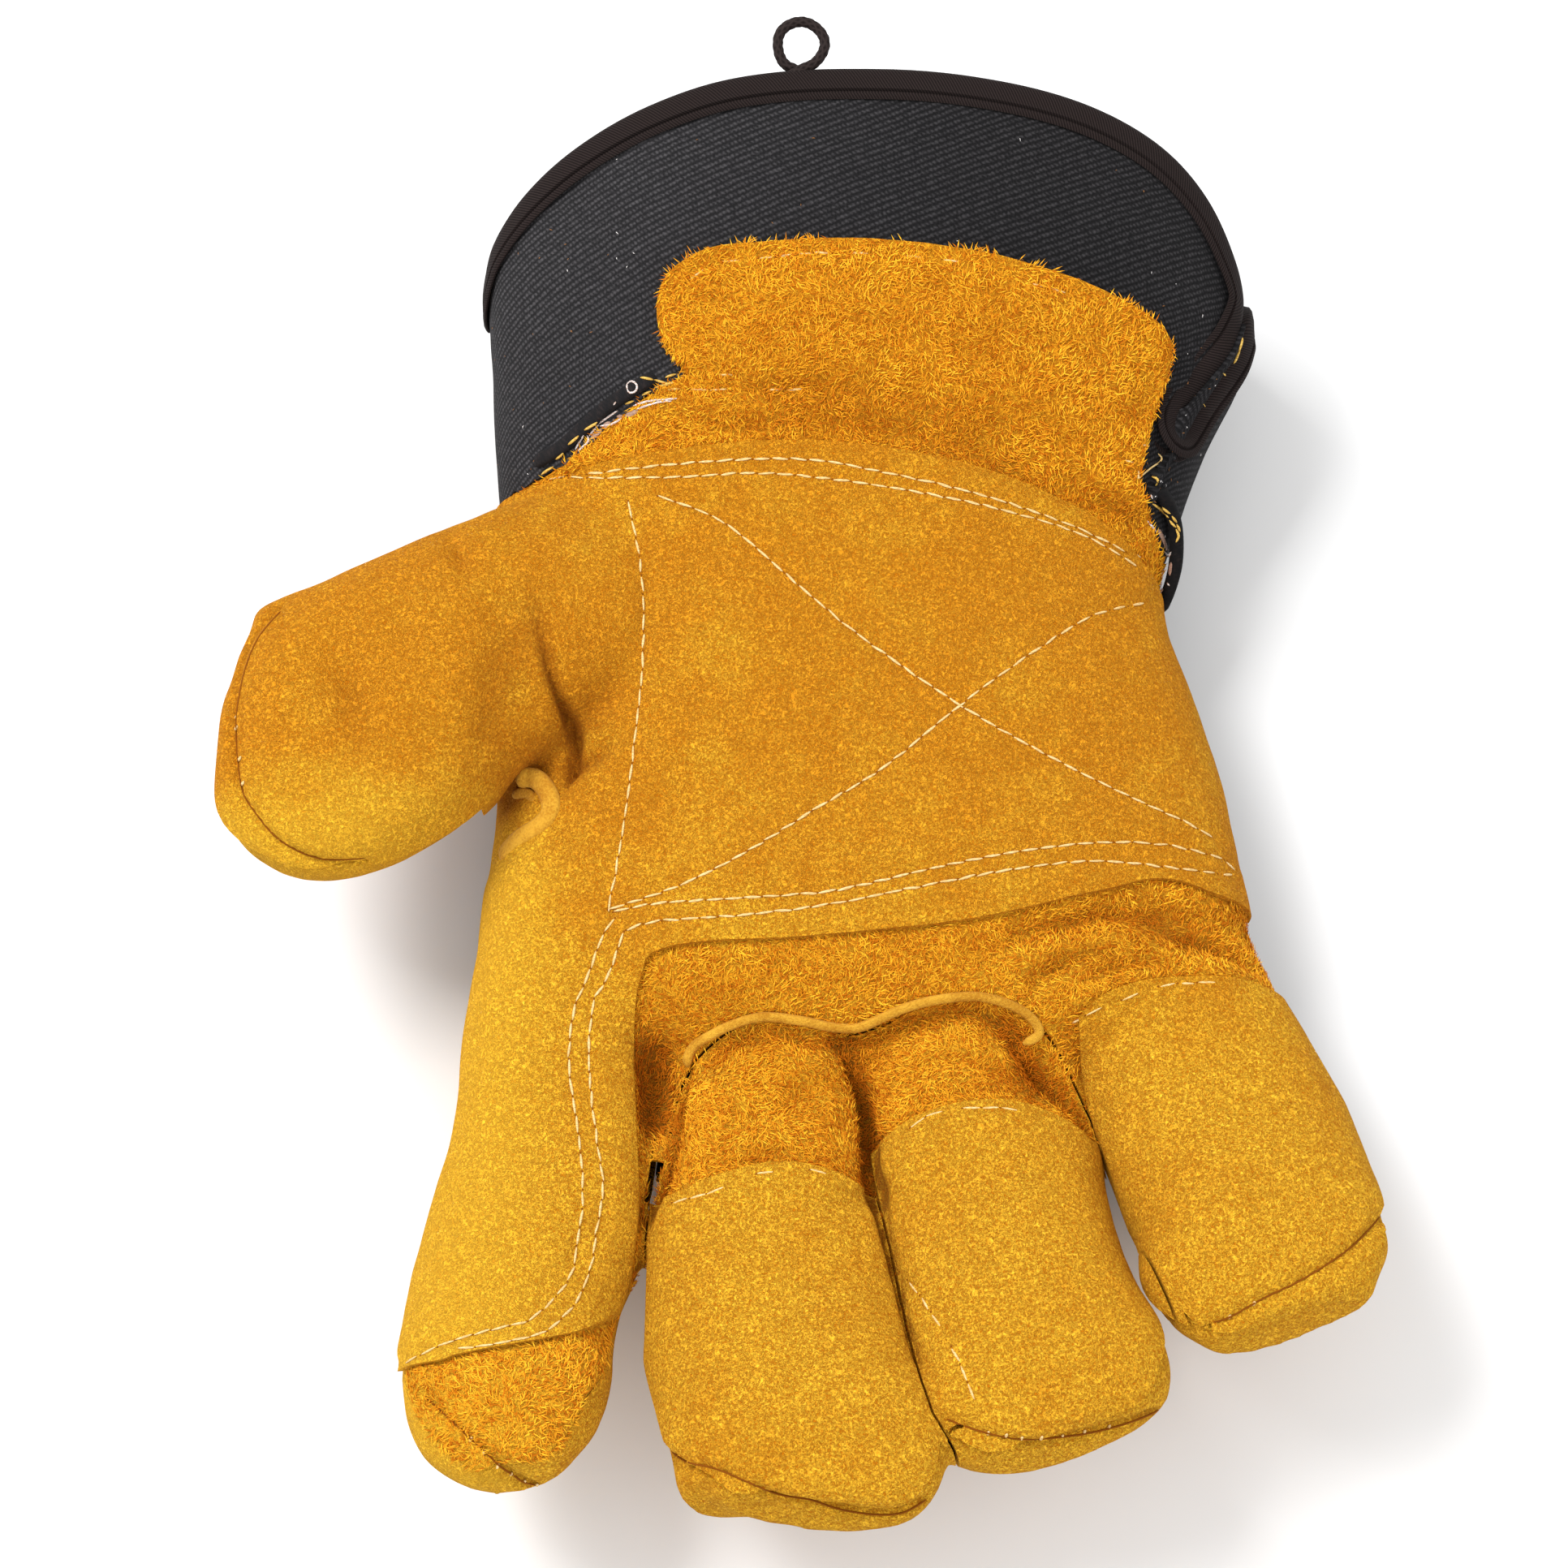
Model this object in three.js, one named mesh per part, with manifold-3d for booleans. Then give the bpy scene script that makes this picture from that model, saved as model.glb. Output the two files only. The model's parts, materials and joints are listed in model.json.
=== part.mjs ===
// A right-hand leather-palm work glove with a flared denim safety cuff.
// Millimetres, +Z up. The glove lies on its back with the palm up, fingers towards -Y, thumb towards -X.
// The origin is on the flat underside of the hand's back, below the middle of the palm.
import * as THREE from 'three';
import Module from 'manifold-3d';
import { mergeVertices } from 'three/addons/utils/BufferGeometryUtils.js';

const wasm = await Module();
wasm.setup();

// Driving sizes
const LEATHER = 1.4;
const OVERLAY = 1.3;
const DENIM = 1.6;
const GAP = 0.35;
const TRUNK_SIDES = 26;
const FINGER_SIDES = 10;
const CUFF_ROWS = 3;
const TRUNK_POWER = 2.5;
const FINGER_POWER = 2.25;
const TAPE_WIDTH = 4.3;
const TAPE_THICKNESS = 0.7;
const TAPE_GAP = 0.7;
const LOOP_CORD = 1.9;
const LOOP_RADIUS_X = 4.2;
const LOOP_RADIUS_Y = 4.1;
const WELT_WIDTH = 2.6;
const WELT_HEIGHT = 1.9;
const LOOP_TILT = 15;
const LOOP_STEPS = 16;
const CORD_SIDES = 8;
const TALL = 200;
const PLAN_SIDE = 130;
const PLAN_END = -140;
const KNUCKLE_Y = -56;
const SIDE_SEAM_Z = 23;

// The hand's body and the cuff are one flared tube. Each row is a section across Y:
// y, centre x, centre z, half width, half thickness.
const TRUNK = [
  [140, 15.0, 33.0, 70.0, 31.0],
  [112, 15.2, 33.0, 70.3, 31.0],
  [96, 15.6, 32.0, 70.4, 30.0],
  [84, 15.6, 30.0, 69.4, 28.5],
  [70, 12.4, 27.0, 65.6, 26.5],
  [56, 10.4, 24.5, 62.4, 25.3],
  [40, 9.0, 23.0, 59.0, 24.6],
  [15, 12.4, 22.8, 62.4, 24.6],
  [-10, 14.6, 22.4, 65.6, 24.0],
  [-28, 15.0, 21.6, 67.6, 22.6],
  [-40, 15.2, 20.8, 68.6, 20.6],
  [-48, 15.4, 20.0, 66.0, 16.6],
  [-54, 15.4, 20.0, 60.0, 10.0],
];

// Each row of a finger is a section across its own line:
// x, y, z, half width, half thickness, and the height of the side seam as a share of the half thickness.
const INDEX = [
  [-37.0, -16, 22.0, 15.0, 16.0, 0.0],
  [-39.2, -40, 22.2, 15.4, 16.6, 0.0],
  [-40.2, -60, 22.8, 16.0, 15.6, 0.0],
  [-41.8, -76, 25.0, 17.4, 15.0, 0.0],
  [-44.0, -92, 30.0, 18.6, 14.4, 0.1],
  [-44.6, -106, 36.2, 18.4, 12.8, 0.3],
  [-43.8, -116, 41.0, 14.6, 10.2, 0.55],
  [-42.6, -122.6, 44.0, 7.4, 5.4, 0.6],
];
const MIDDLE = [
  [-2.0, -30, 21.0, 18.0, 15.0, 0.0],
  [-1.6, -52, 21.4, 17.2, 15.4, 0.0],
  [-2.6, -68, 23.4, 18.8, 15.2, 0.0],
  [-2.8, -82, 26.0, 20.0, 14.8, 0.0],
  [-0.4, -98, 31.0, 20.8, 14.2, 0.1],
  [2.6, -112, 36.8, 21.0, 13.0, 0.3],
  [6.4, -122.6, 41.4, 19.8, 10.8, 0.55],
  [9.6, -130.2, 45.0, 11.6, 6.0, 0.6],
];
const RING = [
  [32.0, -30, 21.0, 18.0, 15.0, 0.0],
  [34.0, -52, 21.4, 17.4, 15.2, 0.0],
  [36.6, -68, 23.6, 18.2, 15.0, 0.0],
  [39.2, -82, 27.2, 19.2, 14.6, 0.0],
  [42.8, -96, 32.2, 20.2, 13.6, 0.2],
  [45.8, -107, 37.0, 20.6, 12.0, 0.45],
  [47.2, -114, 40.8, 17.4, 9.6, 0.6],
  [48.2, -118.8, 43.4, 9.4, 5.4, 0.6],
];
const LITTLE = [
  [64.0, -22, 21.0, 16.0, 14.0, 0.0],
  [67.6, -38, 21.2, 19.0, 15.2, 0.0],
  [73.0, -54, 23.4, 20.8, 15.2, 0.0],
  [78.6, -68, 27.4, 21.2, 14.4, 0.1],
  [81.4, -80, 32.6, 20.4, 13.2, 0.3],
  [80.2, -90, 37.4, 16.8, 10.6, 0.55],
  [77.0, -97.4, 41.6, 8.4, 5.6, 0.6],
];
const THUMB = [
  [-20.0, 43.0, 24.0, 15.0, 15.0, 0.0],
  [-35.0, 35.0, 30.0, 23.0, 18.0, 0.0],
  [-48.0, 27.0, 34.8, 26.4, 18.0, 0.0],
  [-60.0, 19.0, 38.4, 27.4, 17.0, 0.05],
  [-72.0, 11.6, 41.0, 27.4, 15.6, 0.15],
  [-84.0, 6.2, 42.8, 25.6, 13.4, 0.35],
  [-92.6, 4.4, 43.6, 19.4, 10.2, 0.45],
  [-97.8, 4.0, 44.2, 9.6, 5.2, 0.45],
];

// Stations round the cuff: rim angle, rim y, wrist angle.
// Angle 0 is the little-finger side and 90 the palm side.
// Between 28 and 1 degrees the rim runs down one side of the slit, round its foot and up the other side.
const RIM = [
  [180, 98, 180], [164, 103, 165], [149, 109, 150], [134, 115.4, 135], [119, 121.6, 120],
  [105, 126, 105], [90, 127.4, 90], [75, 125.8, 75], [60, 121, 60], [45, 113.4, 49],
  [33, 105, 43], [24, 97.4, 40], [18, 91, 38], [20.4, 83.5, 36], [24, 77.4, 33.8],
  [27.2, 72, 32], [27.6, 68.6, 30.4], [24.4, 67.8, 29], [21, 70.4, 27],
  [15, 76.4, 24], [8, 83, 20], [1, 90, 13],
  [-10, 97, 0], [-25, 105, -22], [-45, 114, -45], [-68, 121, -68], [-90, 123, -90],
  [-112, 121, -112], [-135, 115, -135], [-158, 108, -158],
];
const WRIST_Y = 34;

// Plan outlines, as x and y down the middle of the line or round the edge
const SEAM_FRONT = [
  [-PLAN_SIDE, 57], [-52, 57], [-44, 57.8], [-38, 60.4], [-30, 66], [-20, 71], [0, 73.4], [30, 72],
  [48, 69], [58, 64], [64, 56], [67.4, 49], [72, 43.6], [78, 41], [PLAN_SIDE, 40],
];
const SEAM_BACK_Y = 56;
const TAB = [
  [-14, 66], [-18, 73], [-21.6, 78], [-22.8, 83], [-21.6, 88], [-17.5, 91.4], [-10, 93.6], [12, 94.2],
  [34, 92.2], [52, 88.2], [65, 83.6], [69.6, 80], [69.2, 75], [66.6, 68], [64.4, 60], [63.0, 53],
  [56, 58], [44, 64], [20, 67],
];
const PATCH_EDGE = [
  [-PLAN_SIDE, 56], [-53, 56], [-42, 56.4], [-28, 58.6], [5, 60.4], [34, 56.4], [54, 50], [64, 44], [78, 34],
  [110, 30], [110, -18], [80, -20], [66, -18.4], [54, -21.6], [33, -27], [5, -30], [-20, -31.5],
  [-24.6, -36], [-26, -46], [-25.4, -60], [-24.8, -76], [-27, -91], [-31, -97], [-38, -100.4],
  [-54, -103.6], [-64, -104.6], [-PLAN_SIDE, -104],
];
const FINGER_SEAM = [
  [-19.8, -62], [-17.4, -53], [-12, -47.6], [-5, -44.6], [3, -44.8], [10, -46], [16, -45],
  [23, -42.6], [31, -41], [38, -41.6], [43.4, -44.6], [47.6, -48], [54, -60],
];
const WELT_END = 11;
const MIDDLE_TIP_EDGE = [[-40, -75], [-20, -73.6], [-12, -71], [-2, -68.6], [8, -69.6], [18, -73], [40, -76]];
const RING_TIP_EDGE = [[-2, -70], [14, -64.6], [22, -60], [32, -57.6], [42, -58], [52, -62], [70, -70]];
const LITTLE_TIP_EDGE = [
  [45, -54], [48.6, -45.6], [54, -39.8], [62, -36.4], [72, -35], [82, -35.4], [110, -40],
];
const INDEX_MIDDLE_GAP = [
  [-19.6, -30], [-21.4, -56], [-22.9, -68], [-23.6, -82], [-23.8, -98], [-26, PLAN_END],
];
const MIDDLE_RING_GAP = [
  [15.6, -30], [16, -56], [17.3, -68], [18.6, -82], [21.2, -97], [24, -107], [25.8, -113],
  [29, -118.5], [38, PLAN_END],
];
const RING_LITTLE_GAP = [
  [49, -30], [51.6, -56], [56.4, -70], [59.6, -82], [62.5, -90], [65, -96], [69.4, -107], [74, PLAN_END],
];
const THUMB_SEAM = [[-54, 70], [-54, 44], [-53, 10], [-52.8, -6], [-60, -30]];
const INDEX_BACK_Y = -22;
const FINGER_BACK_Y = -65;
const THUMB_RING = { x: -42.6, y: 0.4, radius: 5.4, from: 128, to: -95 };
const ROLL_LEFT = [[-45, 60.6], [-39.4, 62.6], [-31.6, 68.2], [-23, 72.6]];
const ROLL_RIGHT = [[67.6, 58], [71.4, 52], [75.4, 46.6]];
const ROLL_WIDTH = 3.2;
const ROLL_HEIGHT = 2.4;
const HANGER_X = 3;

// Colours read as plain tones of each material
const SUEDE = 0xd9961f;
const ROUGH_SUEDE = 0xcf8416;
const TAPE = 0x2b2223;
const TWILL = 0x26282a;
const STRIP = 0xcf9f38;

function solidFrom(positions, indices) {
  const geometry = new THREE.BufferGeometry();
  geometry.setAttribute('position', new THREE.Float32BufferAttribute(positions, 3));
  geometry.setIndex(indices);
  return solidOf(geometry);
}

function solidOf(source) {
  const geometry = source.clone();
  geometry.deleteAttribute('normal');
  geometry.deleteAttribute('uv');
  const merged = mergeVertices(geometry, 1e-4);
  const mesh = new wasm.Mesh({
    numProp: 3,
    vertProperties: Float32Array.from(merged.attributes.position.array),
    triVerts: Uint32Array.from(merged.index.array),
  });
  return new wasm.Manifold(mesh);
}

// Joins rings of points into one closed skin: round and round when closed, else with flat ends
function skin(rings, closed = false) {
  const positions = rings.flat().flatMap((p) => [p.x, p.y, p.z]);
  const indices = [];
  const count = rings[0].length;
  const lastRing = closed ? rings.length : rings.length - 1;
  for (let i = 0; i < lastRing; i += 1) {
    const next = ((i + 1) % rings.length) * count;
    for (let j = 0; j < count; j += 1) {
      const k = (j + 1) % count;
      const a = i * count + j;
      const b = i * count + k;
      indices.push(a, b, next + j, b, next + k, next + j);
    }
  }
  if (!closed) {
    const end = (rings.length - 1) * count;
    for (let j = 1; j < count - 1; j += 1) {
      indices.push(0, j + 1, j, end, end + j, end + j + 1);
    }
  }
  return solidFrom(positions, indices);
}

// A point of a rounded box's outline; power 2 is an ellipse and more is squarer
function ovalPoint(angle, power) {
  const c = Math.cos(angle);
  const s = Math.sin(angle);
  return [Math.sign(c) * Math.abs(c) ** (2 / power), Math.sign(s) * Math.abs(s) ** (2 / power)];
}

function trunkRow(y) {
  let i = 0;
  while (i < TRUNK.length - 2 && TRUNK[i + 1][0] > y) i += 1;
  const [y0, ...from] = TRUNK[i];
  const [y1, ...to] = TRUNK[i + 1];
  const share = (y0 - y) / (y0 - y1);
  return from.map((value, k) => value + (to[k] - value) * share);
}

function trunkPoint(angle, y, grow) {
  const [x, z, wide, thick] = trunkRow(y);
  const [u, v] = ovalPoint(angle, TRUNK_POWER);
  return new THREE.Vector3(x + u * (wide + grow), y, z + v * (thick + grow));
}

function trunkNormal(angle, y) {
  const [, , wide, thick] = trunkRow(y);
  const [u, v] = ovalPoint(angle, TRUNK_POWER);
  const slopeX = (Math.sign(u) * Math.abs(u) ** (TRUNK_POWER - 1)) / wide;
  const slopeZ = (Math.sign(v) * Math.abs(v) ** (TRUNK_POWER - 1)) / thick;
  return new THREE.Vector3(slopeX, 0, slopeZ).normalize();
}

function trunk(grow) {
  const angles = Array.from({ length: TRUNK_SIDES }, (_, j) => (j / TRUNK_SIDES) * 2 * Math.PI);
  const rings = TRUNK.map(([y], i) => {
    const end = i === TRUNK.length - 1 ? grow : 0;
    return angles.map((angle) => trunkPoint(angle, y, grow).setY(y - end));
  });
  return skin(rings);
}

// For each row: its place, the finger's direction, its own sideways and upward ways and how fast it narrows
function fingerFrames(rows) {
  return rows.map(([x, y, z, wide, thick, seam], i) => {
    const before = rows[Math.max(i - 1, 0)];
    const after = rows[Math.min(i + 1, rows.length - 1)];
    const along = new THREE.Vector3(after[0] - before[0], after[1] - before[1], after[2] - before[2]);
    const step = along.length();
    along.normalize();
    const side = new THREE.Vector3(0, 0, 1).cross(along).normalize();
    const up = along.clone().cross(side);
    const taper = Math.atan2((before[3] - after[3] + before[4] - after[4]) / 2, step);
    return { at: new THREE.Vector3(x, y, z), along, side, up, wide, thick, seam, taper };
  });
}

function fingerPoint(frame, u, v) {
  return frame.at.clone().addScaledVector(frame.side, u).addScaledVector(frame.up, v);
}

function finger(rows, grow) {
  const angles = Array.from({ length: FINGER_SIDES }, (_, j) => (j / FINGER_SIDES) * 2 * Math.PI);
  const rings = fingerFrames(rows).map((frame) => {
    const lift = grow * Math.cos(frame.taper);
    const push = grow * Math.max(Math.sin(frame.taper), 0);
    return angles.map((angle) => {
      const [u, v] = ovalPoint(angle, FINGER_POWER);
      const p = fingerPoint(frame, u * (frame.wide + lift), v * (frame.thick + lift));
      return p.addScaledVector(frame.along, push);
    });
  });
  return skin(rings);
}

// The space on the palm side of a finger's seams
function frontZone(rows) {
  const room = 4;
  const above = 14;
  const past = 12;
  const leastWide = 12;
  const frames = fingerFrames(rows);
  const last = frames[frames.length - 1];
  const beyond = { ...last, at: last.at.clone().addScaledVector(last.along, past) };
  const rings = [...frames, beyond].map((frame) => {
    const low = frame.seam * frame.thick;
    const high = frame.thick + above;
    const wide = Math.max(frame.wide, leastWide) + room;
    return [[wide, low], [wide, high], [-wide, high], [-wide, low]].map(([u, v]) => fingerPoint(frame, u, v));
  });
  return skin(rings);
}

function block(x0, x1, y0, y1, z0, z1) {
  const box = new THREE.BoxGeometry(x1 - x0, y1 - y0, z1 - z0);
  box.translate((x0 + x1) / 2, (y0 + y1) / 2, (z0 + z1) / 2);
  return solidOf(box);
}

function prism(outline) {
  const shape = new THREE.Shape(outline.map(([x, y]) => new THREE.Vector2(x, y)));
  const geometry = new THREE.ExtrudeGeometry(shape, { depth: TALL, bevelEnabled: false });
  geometry.translate(0, 0, -TALL / 4);
  return solidOf(geometry);
}

// A strip of the plan on both sides of a line
function band(line, width) {
  const left = [];
  const right = [];
  line.forEach(([x, y], i) => {
    const [x0, y0] = line[Math.max(i - 1, 0)];
    const [x1, y1] = line[Math.min(i + 1, line.length - 1)];
    const half = width / 2 / Math.hypot(x1 - x0, y1 - y0);
    left.push([x - (y1 - y0) * half, y + (x1 - x0) * half]);
    right.unshift([x + (y1 - y0) * half, y - (x1 - x0) * half]);
  });
  return prism([...left, ...right]);
}

// Points along an arc, from one angle in degrees to another
function circle({ x, y, radius, from, to }, steps) {
  return Array.from({ length: steps + 1 }, (_, i) => {
    const angle = THREE.MathUtils.degToRad(from + ((to - from) * i) / steps);
    return [x + radius * Math.cos(angle), y + radius * Math.sin(angle)];
  });
}

function join(solids) {
  return solids.reduce((whole, solid) => whole.add(solid));
}

const FINGERS = [INDEX, MIDDLE, RING, LITTLE];
const forms = new Map();

// The glove's outer form, grown or shrunk by a distance, and flat where it rests
function form(grow) {
  if (!forms.has(grow)) {
    const parts = [trunk(grow), ...[...FINGERS, THUMB].map((rows) => finger(rows, grow))];
    forms.set(grow, join(parts).intersect(block(-TALL, TALL, -TALL, TALL, -grow, TALL)));
  }
  return forms.get(grow);
}

function shell(outer, inner) {
  return form(outer).subtract(form(inner));
}

const group = new THREE.Group();

function addPiece(name, solid, color, roughness) {
  const mesh = solid.getMesh();
  const geometry = new THREE.BufferGeometry();
  geometry.setAttribute('position', new THREE.Float32BufferAttribute(mesh.vertProperties, 3));
  geometry.setIndex(Array.from(mesh.triVerts));
  geometry.computeVertexNormals();
  const piece = new THREE.Mesh(geometry, new THREE.MeshStandardMaterial({ color, roughness, metalness: 0 }));
  piece.name = name;
  group.add(piece);
}

// The palm side is all that is in front of the side seams
const thumbPlan = prism([...THUMB_SEAM, [-PLAN_SIDE, -30], [-PLAN_SIDE, 70]]);
const thumbZone = frontZone(THUMB);
const palmBlock = block(-TALL, TALL, KNUCKLE_Y, TALL, SIDE_SEAM_Z, TALL).subtract(thumbPlan);
const palmSide = join([palmBlock, ...FINGERS.map(frontZone), thumbZone]);
const palmSideAndGap = join([[GAP, 0], [-GAP, 0], [0, GAP], [0, -GAP]].map(
  ([x, y]) => palmSide.translate([x, y, -GAP]),
));

// The wrist seam lies further up the palm than up the back
const belowSeamFront = prism([...SEAM_FRONT, [PLAN_SIDE, -TALL], [-PLAN_SIDE, -TALL]]);
const belowSeamBack = block(-TALL, TALL, -TALL, SEAM_BACK_Y, -TALL, TALL);
const frontHalf = block(-TALL, TALL, -TALL, TALL, SIDE_SEAM_Z, TALL);
const backHalf = block(-TALL, TALL, -TALL, TALL, -TALL, SIDE_SEAM_Z);

const baseWall = shell(0, -LEATHER);
const frontWall = baseWall.intersect(palmSide).intersect(belowSeamFront);
const backWall = baseWall.subtract(palmSideAndGap).intersect(belowSeamBack);
const overlay = shell(OVERLAY + GAP, GAP).intersect(palmSide);

// Plan areas of the leather pieces, with a narrow slot cut along their shared lines
const slots = join([INDEX_MIDDLE_GAP, MIDDLE_RING_GAP, RING_LITTLE_GAP].map((line) => band(line, GAP)));
const GAP_TOP_Y = -30;
const leftOf = (line) => prism([...line, [-PLAN_SIDE, PLAN_END], [-PLAN_SIDE, GAP_TOP_Y]]);
const beforeIndexMiddle = leftOf(INDEX_MIDDLE_GAP);
const beforeMiddleRing = leftOf(MIDDLE_RING_GAP);
const beforeRingLittle = leftOf(RING_LITTLE_GAP);
const middlePlan = beforeMiddleRing.subtract(beforeIndexMiddle).subtract(slots);
const ringPlan = beforeRingLittle.subtract(beforeMiddleRing).subtract(slots);
const littlePlan = block(0, TALL, -TALL, GAP_TOP_Y, -TALL, TALL).subtract(beforeRingLittle).subtract(slots);
const frontsPlan = beforeRingLittle.subtract(beforeIndexMiddle)
  .intersect(prism([
    ...FINGER_SEAM, [PLAN_SIDE, KNUCKLE_Y], [PLAN_SIDE, -TALL], [-PLAN_SIDE, -TALL], [-PLAN_SIDE, KNUCKLE_Y],
  ]));

// Cuff stations, with one more between each two
function between(before, from, to, after, share) {
  return from.map((value, k) => {
    const bend = 2 * before[k] - 5 * value + 4 * to[k] - after[k];
    const twist = 3 * value - before[k] - 3 * to[k] + after[k];
    return value + 0.5 * share * (to[k] - before[k] + share * (bend + share * twist));
  });
}

const turn = ([rim, y, wrist], degrees) => [rim + degrees, y, wrist + degrees];
const around = [turn(RIM[RIM.length - 1], 360), ...RIM, turn(RIM[0], -360), turn(RIM[1], -360)];
const stations = RIM.flatMap((_, i) => [0, 0.5].map((share) => (
  between(around[i], around[i + 1], around[i + 2], around[i + 3], share)
))).map(([rim, y, wrist]) => [THREE.MathUtils.degToRad(rim), y, THREE.MathUtils.degToRad(wrist)]);

function cuffPoint([rim, y, wrist], share, out) {
  const angle = THREE.MathUtils.lerp(wrist, rim, share);
  const level = THREE.MathUtils.lerp(WRIST_Y, y, share);
  return trunkPoint(angle, level, 0).addScaledVector(trunkNormal(angle, level), out);
}

// At each station: the rim's point, the way out of the cloth, and the way from the edge into it
const rimLine = stations.map((station) => cuffPoint(station, 1, 0));
const rimFrames = stations.map(([rim, y], i) => {
  const before = rimLine[(i + stations.length - 1) % stations.length];
  const after = rimLine[(i + 1) % stations.length];
  const out = trunkNormal(rim, y);
  const along = after.clone().sub(before).normalize();
  return { at: rimLine[i], out, inward: along.cross(out).normalize() };
});

function edgePoint(frame, out, inward) {
  return frame.at.clone().addScaledVector(frame.out, out).addScaledVector(frame.inward, inward);
}

// The cuff's cloth between two distances from its outer face
function cuffWall(outside, inside) {
  const shares = Array.from({ length: CUFF_ROWS }, (_, i) => i / CUFF_ROWS);
  const line = (i, out) => [
    ...shares.map((share) => cuffPoint(stations[i], share, out)),
    edgePoint(rimFrames[i], out, TAPE_WIDTH),
    edgePoint(rimFrames[i], out, 0),
  ];
  return skin(stations.map((_, i) => [...line(i, outside), ...line(i, inside).reverse()]).reverse(), true);
}

const aboveSeams = band(SEAM_FRONT, 2 * GAP).add(belowSeamFront).intersect(frontHalf)
  .add(belowSeamBack.translate([0, GAP, 0]).intersect(backHalf));
const cuffRoom = cuffWall(GAP, -DENIM - GAP);
addPiece('cuff', cuffWall(0, -DENIM).subtract(aboveSeams), TWILL, 0.95);

// Leather
const tabOver = trunk(LEATHER + 2 * GAP).subtract(trunk(2 * GAP)).intersect(prism(TAB));
const tabRoot = trunk(LEATHER + 2 * GAP).subtract(trunk(-GAP)).intersect(prism(TAB))
  .intersect(belowSeamFront);
const tab = tabOver.subtract(cuffRoom).add(tabRoot).intersect(frontHalf);
const weltSlot = band(FINGER_SEAM, GAP);
addPiece('palm_leather', frontWall.subtract(frontsPlan).subtract(weltSlot).subtract(slots).add(tab),
  ROUGH_SUEDE, 0.95);
addPiece('finger_fronts', frontWall.intersect(frontsPlan).subtract(weltSlot), ROUGH_SUEDE, 0.95);

const discRadius = THUMB_RING.radius + WELT_WIDTH / 2 + GAP;
const ringDisc = prism(circle({ ...THUMB_RING, radius: discRadius, from: 360, to: 30 }, 11));
addPiece('palm_patch', overlay.intersect(prism(PATCH_EDGE)).subtract(ringDisc), SUEDE, 0.9);

const tipPlan = (edge) => prism([...edge, [edge[edge.length - 1][0], -TALL], [edge[0][0], -TALL]]);
addPiece('middle_tip_patch', overlay.intersect(tipPlan(MIDDLE_TIP_EDGE)).intersect(middlePlan), SUEDE, 0.9);
addPiece('ring_tip_patch', overlay.intersect(tipPlan(RING_TIP_EDGE)).intersect(ringPlan), SUEDE, 0.9);
addPiece('little_tip_patch', overlay.intersect(tipPlan(LITTLE_TIP_EDGE)).intersect(littlePlan), SUEDE, 0.9);

const backs = backWall.subtract(slots);
const indexBackPlan = beforeIndexMiddle.intersect(block(-TALL, TALL, -TALL, INDEX_BACK_Y, -TALL, TALL));
const fingerBackPlan = block(-TALL, TALL, -TALL, FINGER_BACK_Y, -TALL, TALL);
addPiece('thumb_back', backs.intersect(thumbPlan), SUEDE, 0.9);
addPiece('index_back', backs.intersect(indexBackPlan), SUEDE, 0.9);
addPiece('middle_back', backs.intersect(middlePlan).intersect(fingerBackPlan), SUEDE, 0.9);
addPiece('ring_back', backs.intersect(ringPlan).intersect(fingerBackPlan), SUEDE, 0.9);
addPiece('little_back', backs.intersect(littlePlan).intersect(fingerBackPlan), SUEDE, 0.9);

// Denim
const backEdges = join([
  thumbPlan.translate([GAP, 0, 0]),
  indexBackPlan.translate([GAP, 0, 0]),
  indexBackPlan.translate([0, GAP, 0]),
  fingerBackPlan.translate([0, GAP, 0]).subtract(beforeIndexMiddle),
]);
addPiece('back_panel', backWall.subtract(backEdges), TWILL, 0.95);

// Folded tape round the rim: a U that wraps the edge, swept along it
const tapeOut = TAPE_GAP + TAPE_THICKNESS;
const tapeRound = 0.4;
const tapeEnd = TAPE_WIDTH - tapeOut;
const TAPE_SECTION = [
  [tapeOut, tapeEnd], [TAPE_GAP, tapeEnd], [TAPE_GAP, -GAP], [-DENIM - TAPE_GAP, -GAP],
  [-DENIM - TAPE_GAP, tapeEnd],
  [-DENIM - tapeOut, tapeEnd], [-DENIM - tapeOut, -tapeRound], [-DENIM / 2, -tapeOut], [tapeOut, -tapeRound],
];
const tapeRings = rimFrames.map((frame) => TAPE_SECTION.map(([n, b]) => edgePoint(frame, n, b)));
addPiece('cuff_binding', skin(tapeRings, true), TAPE, 0.9);

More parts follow.
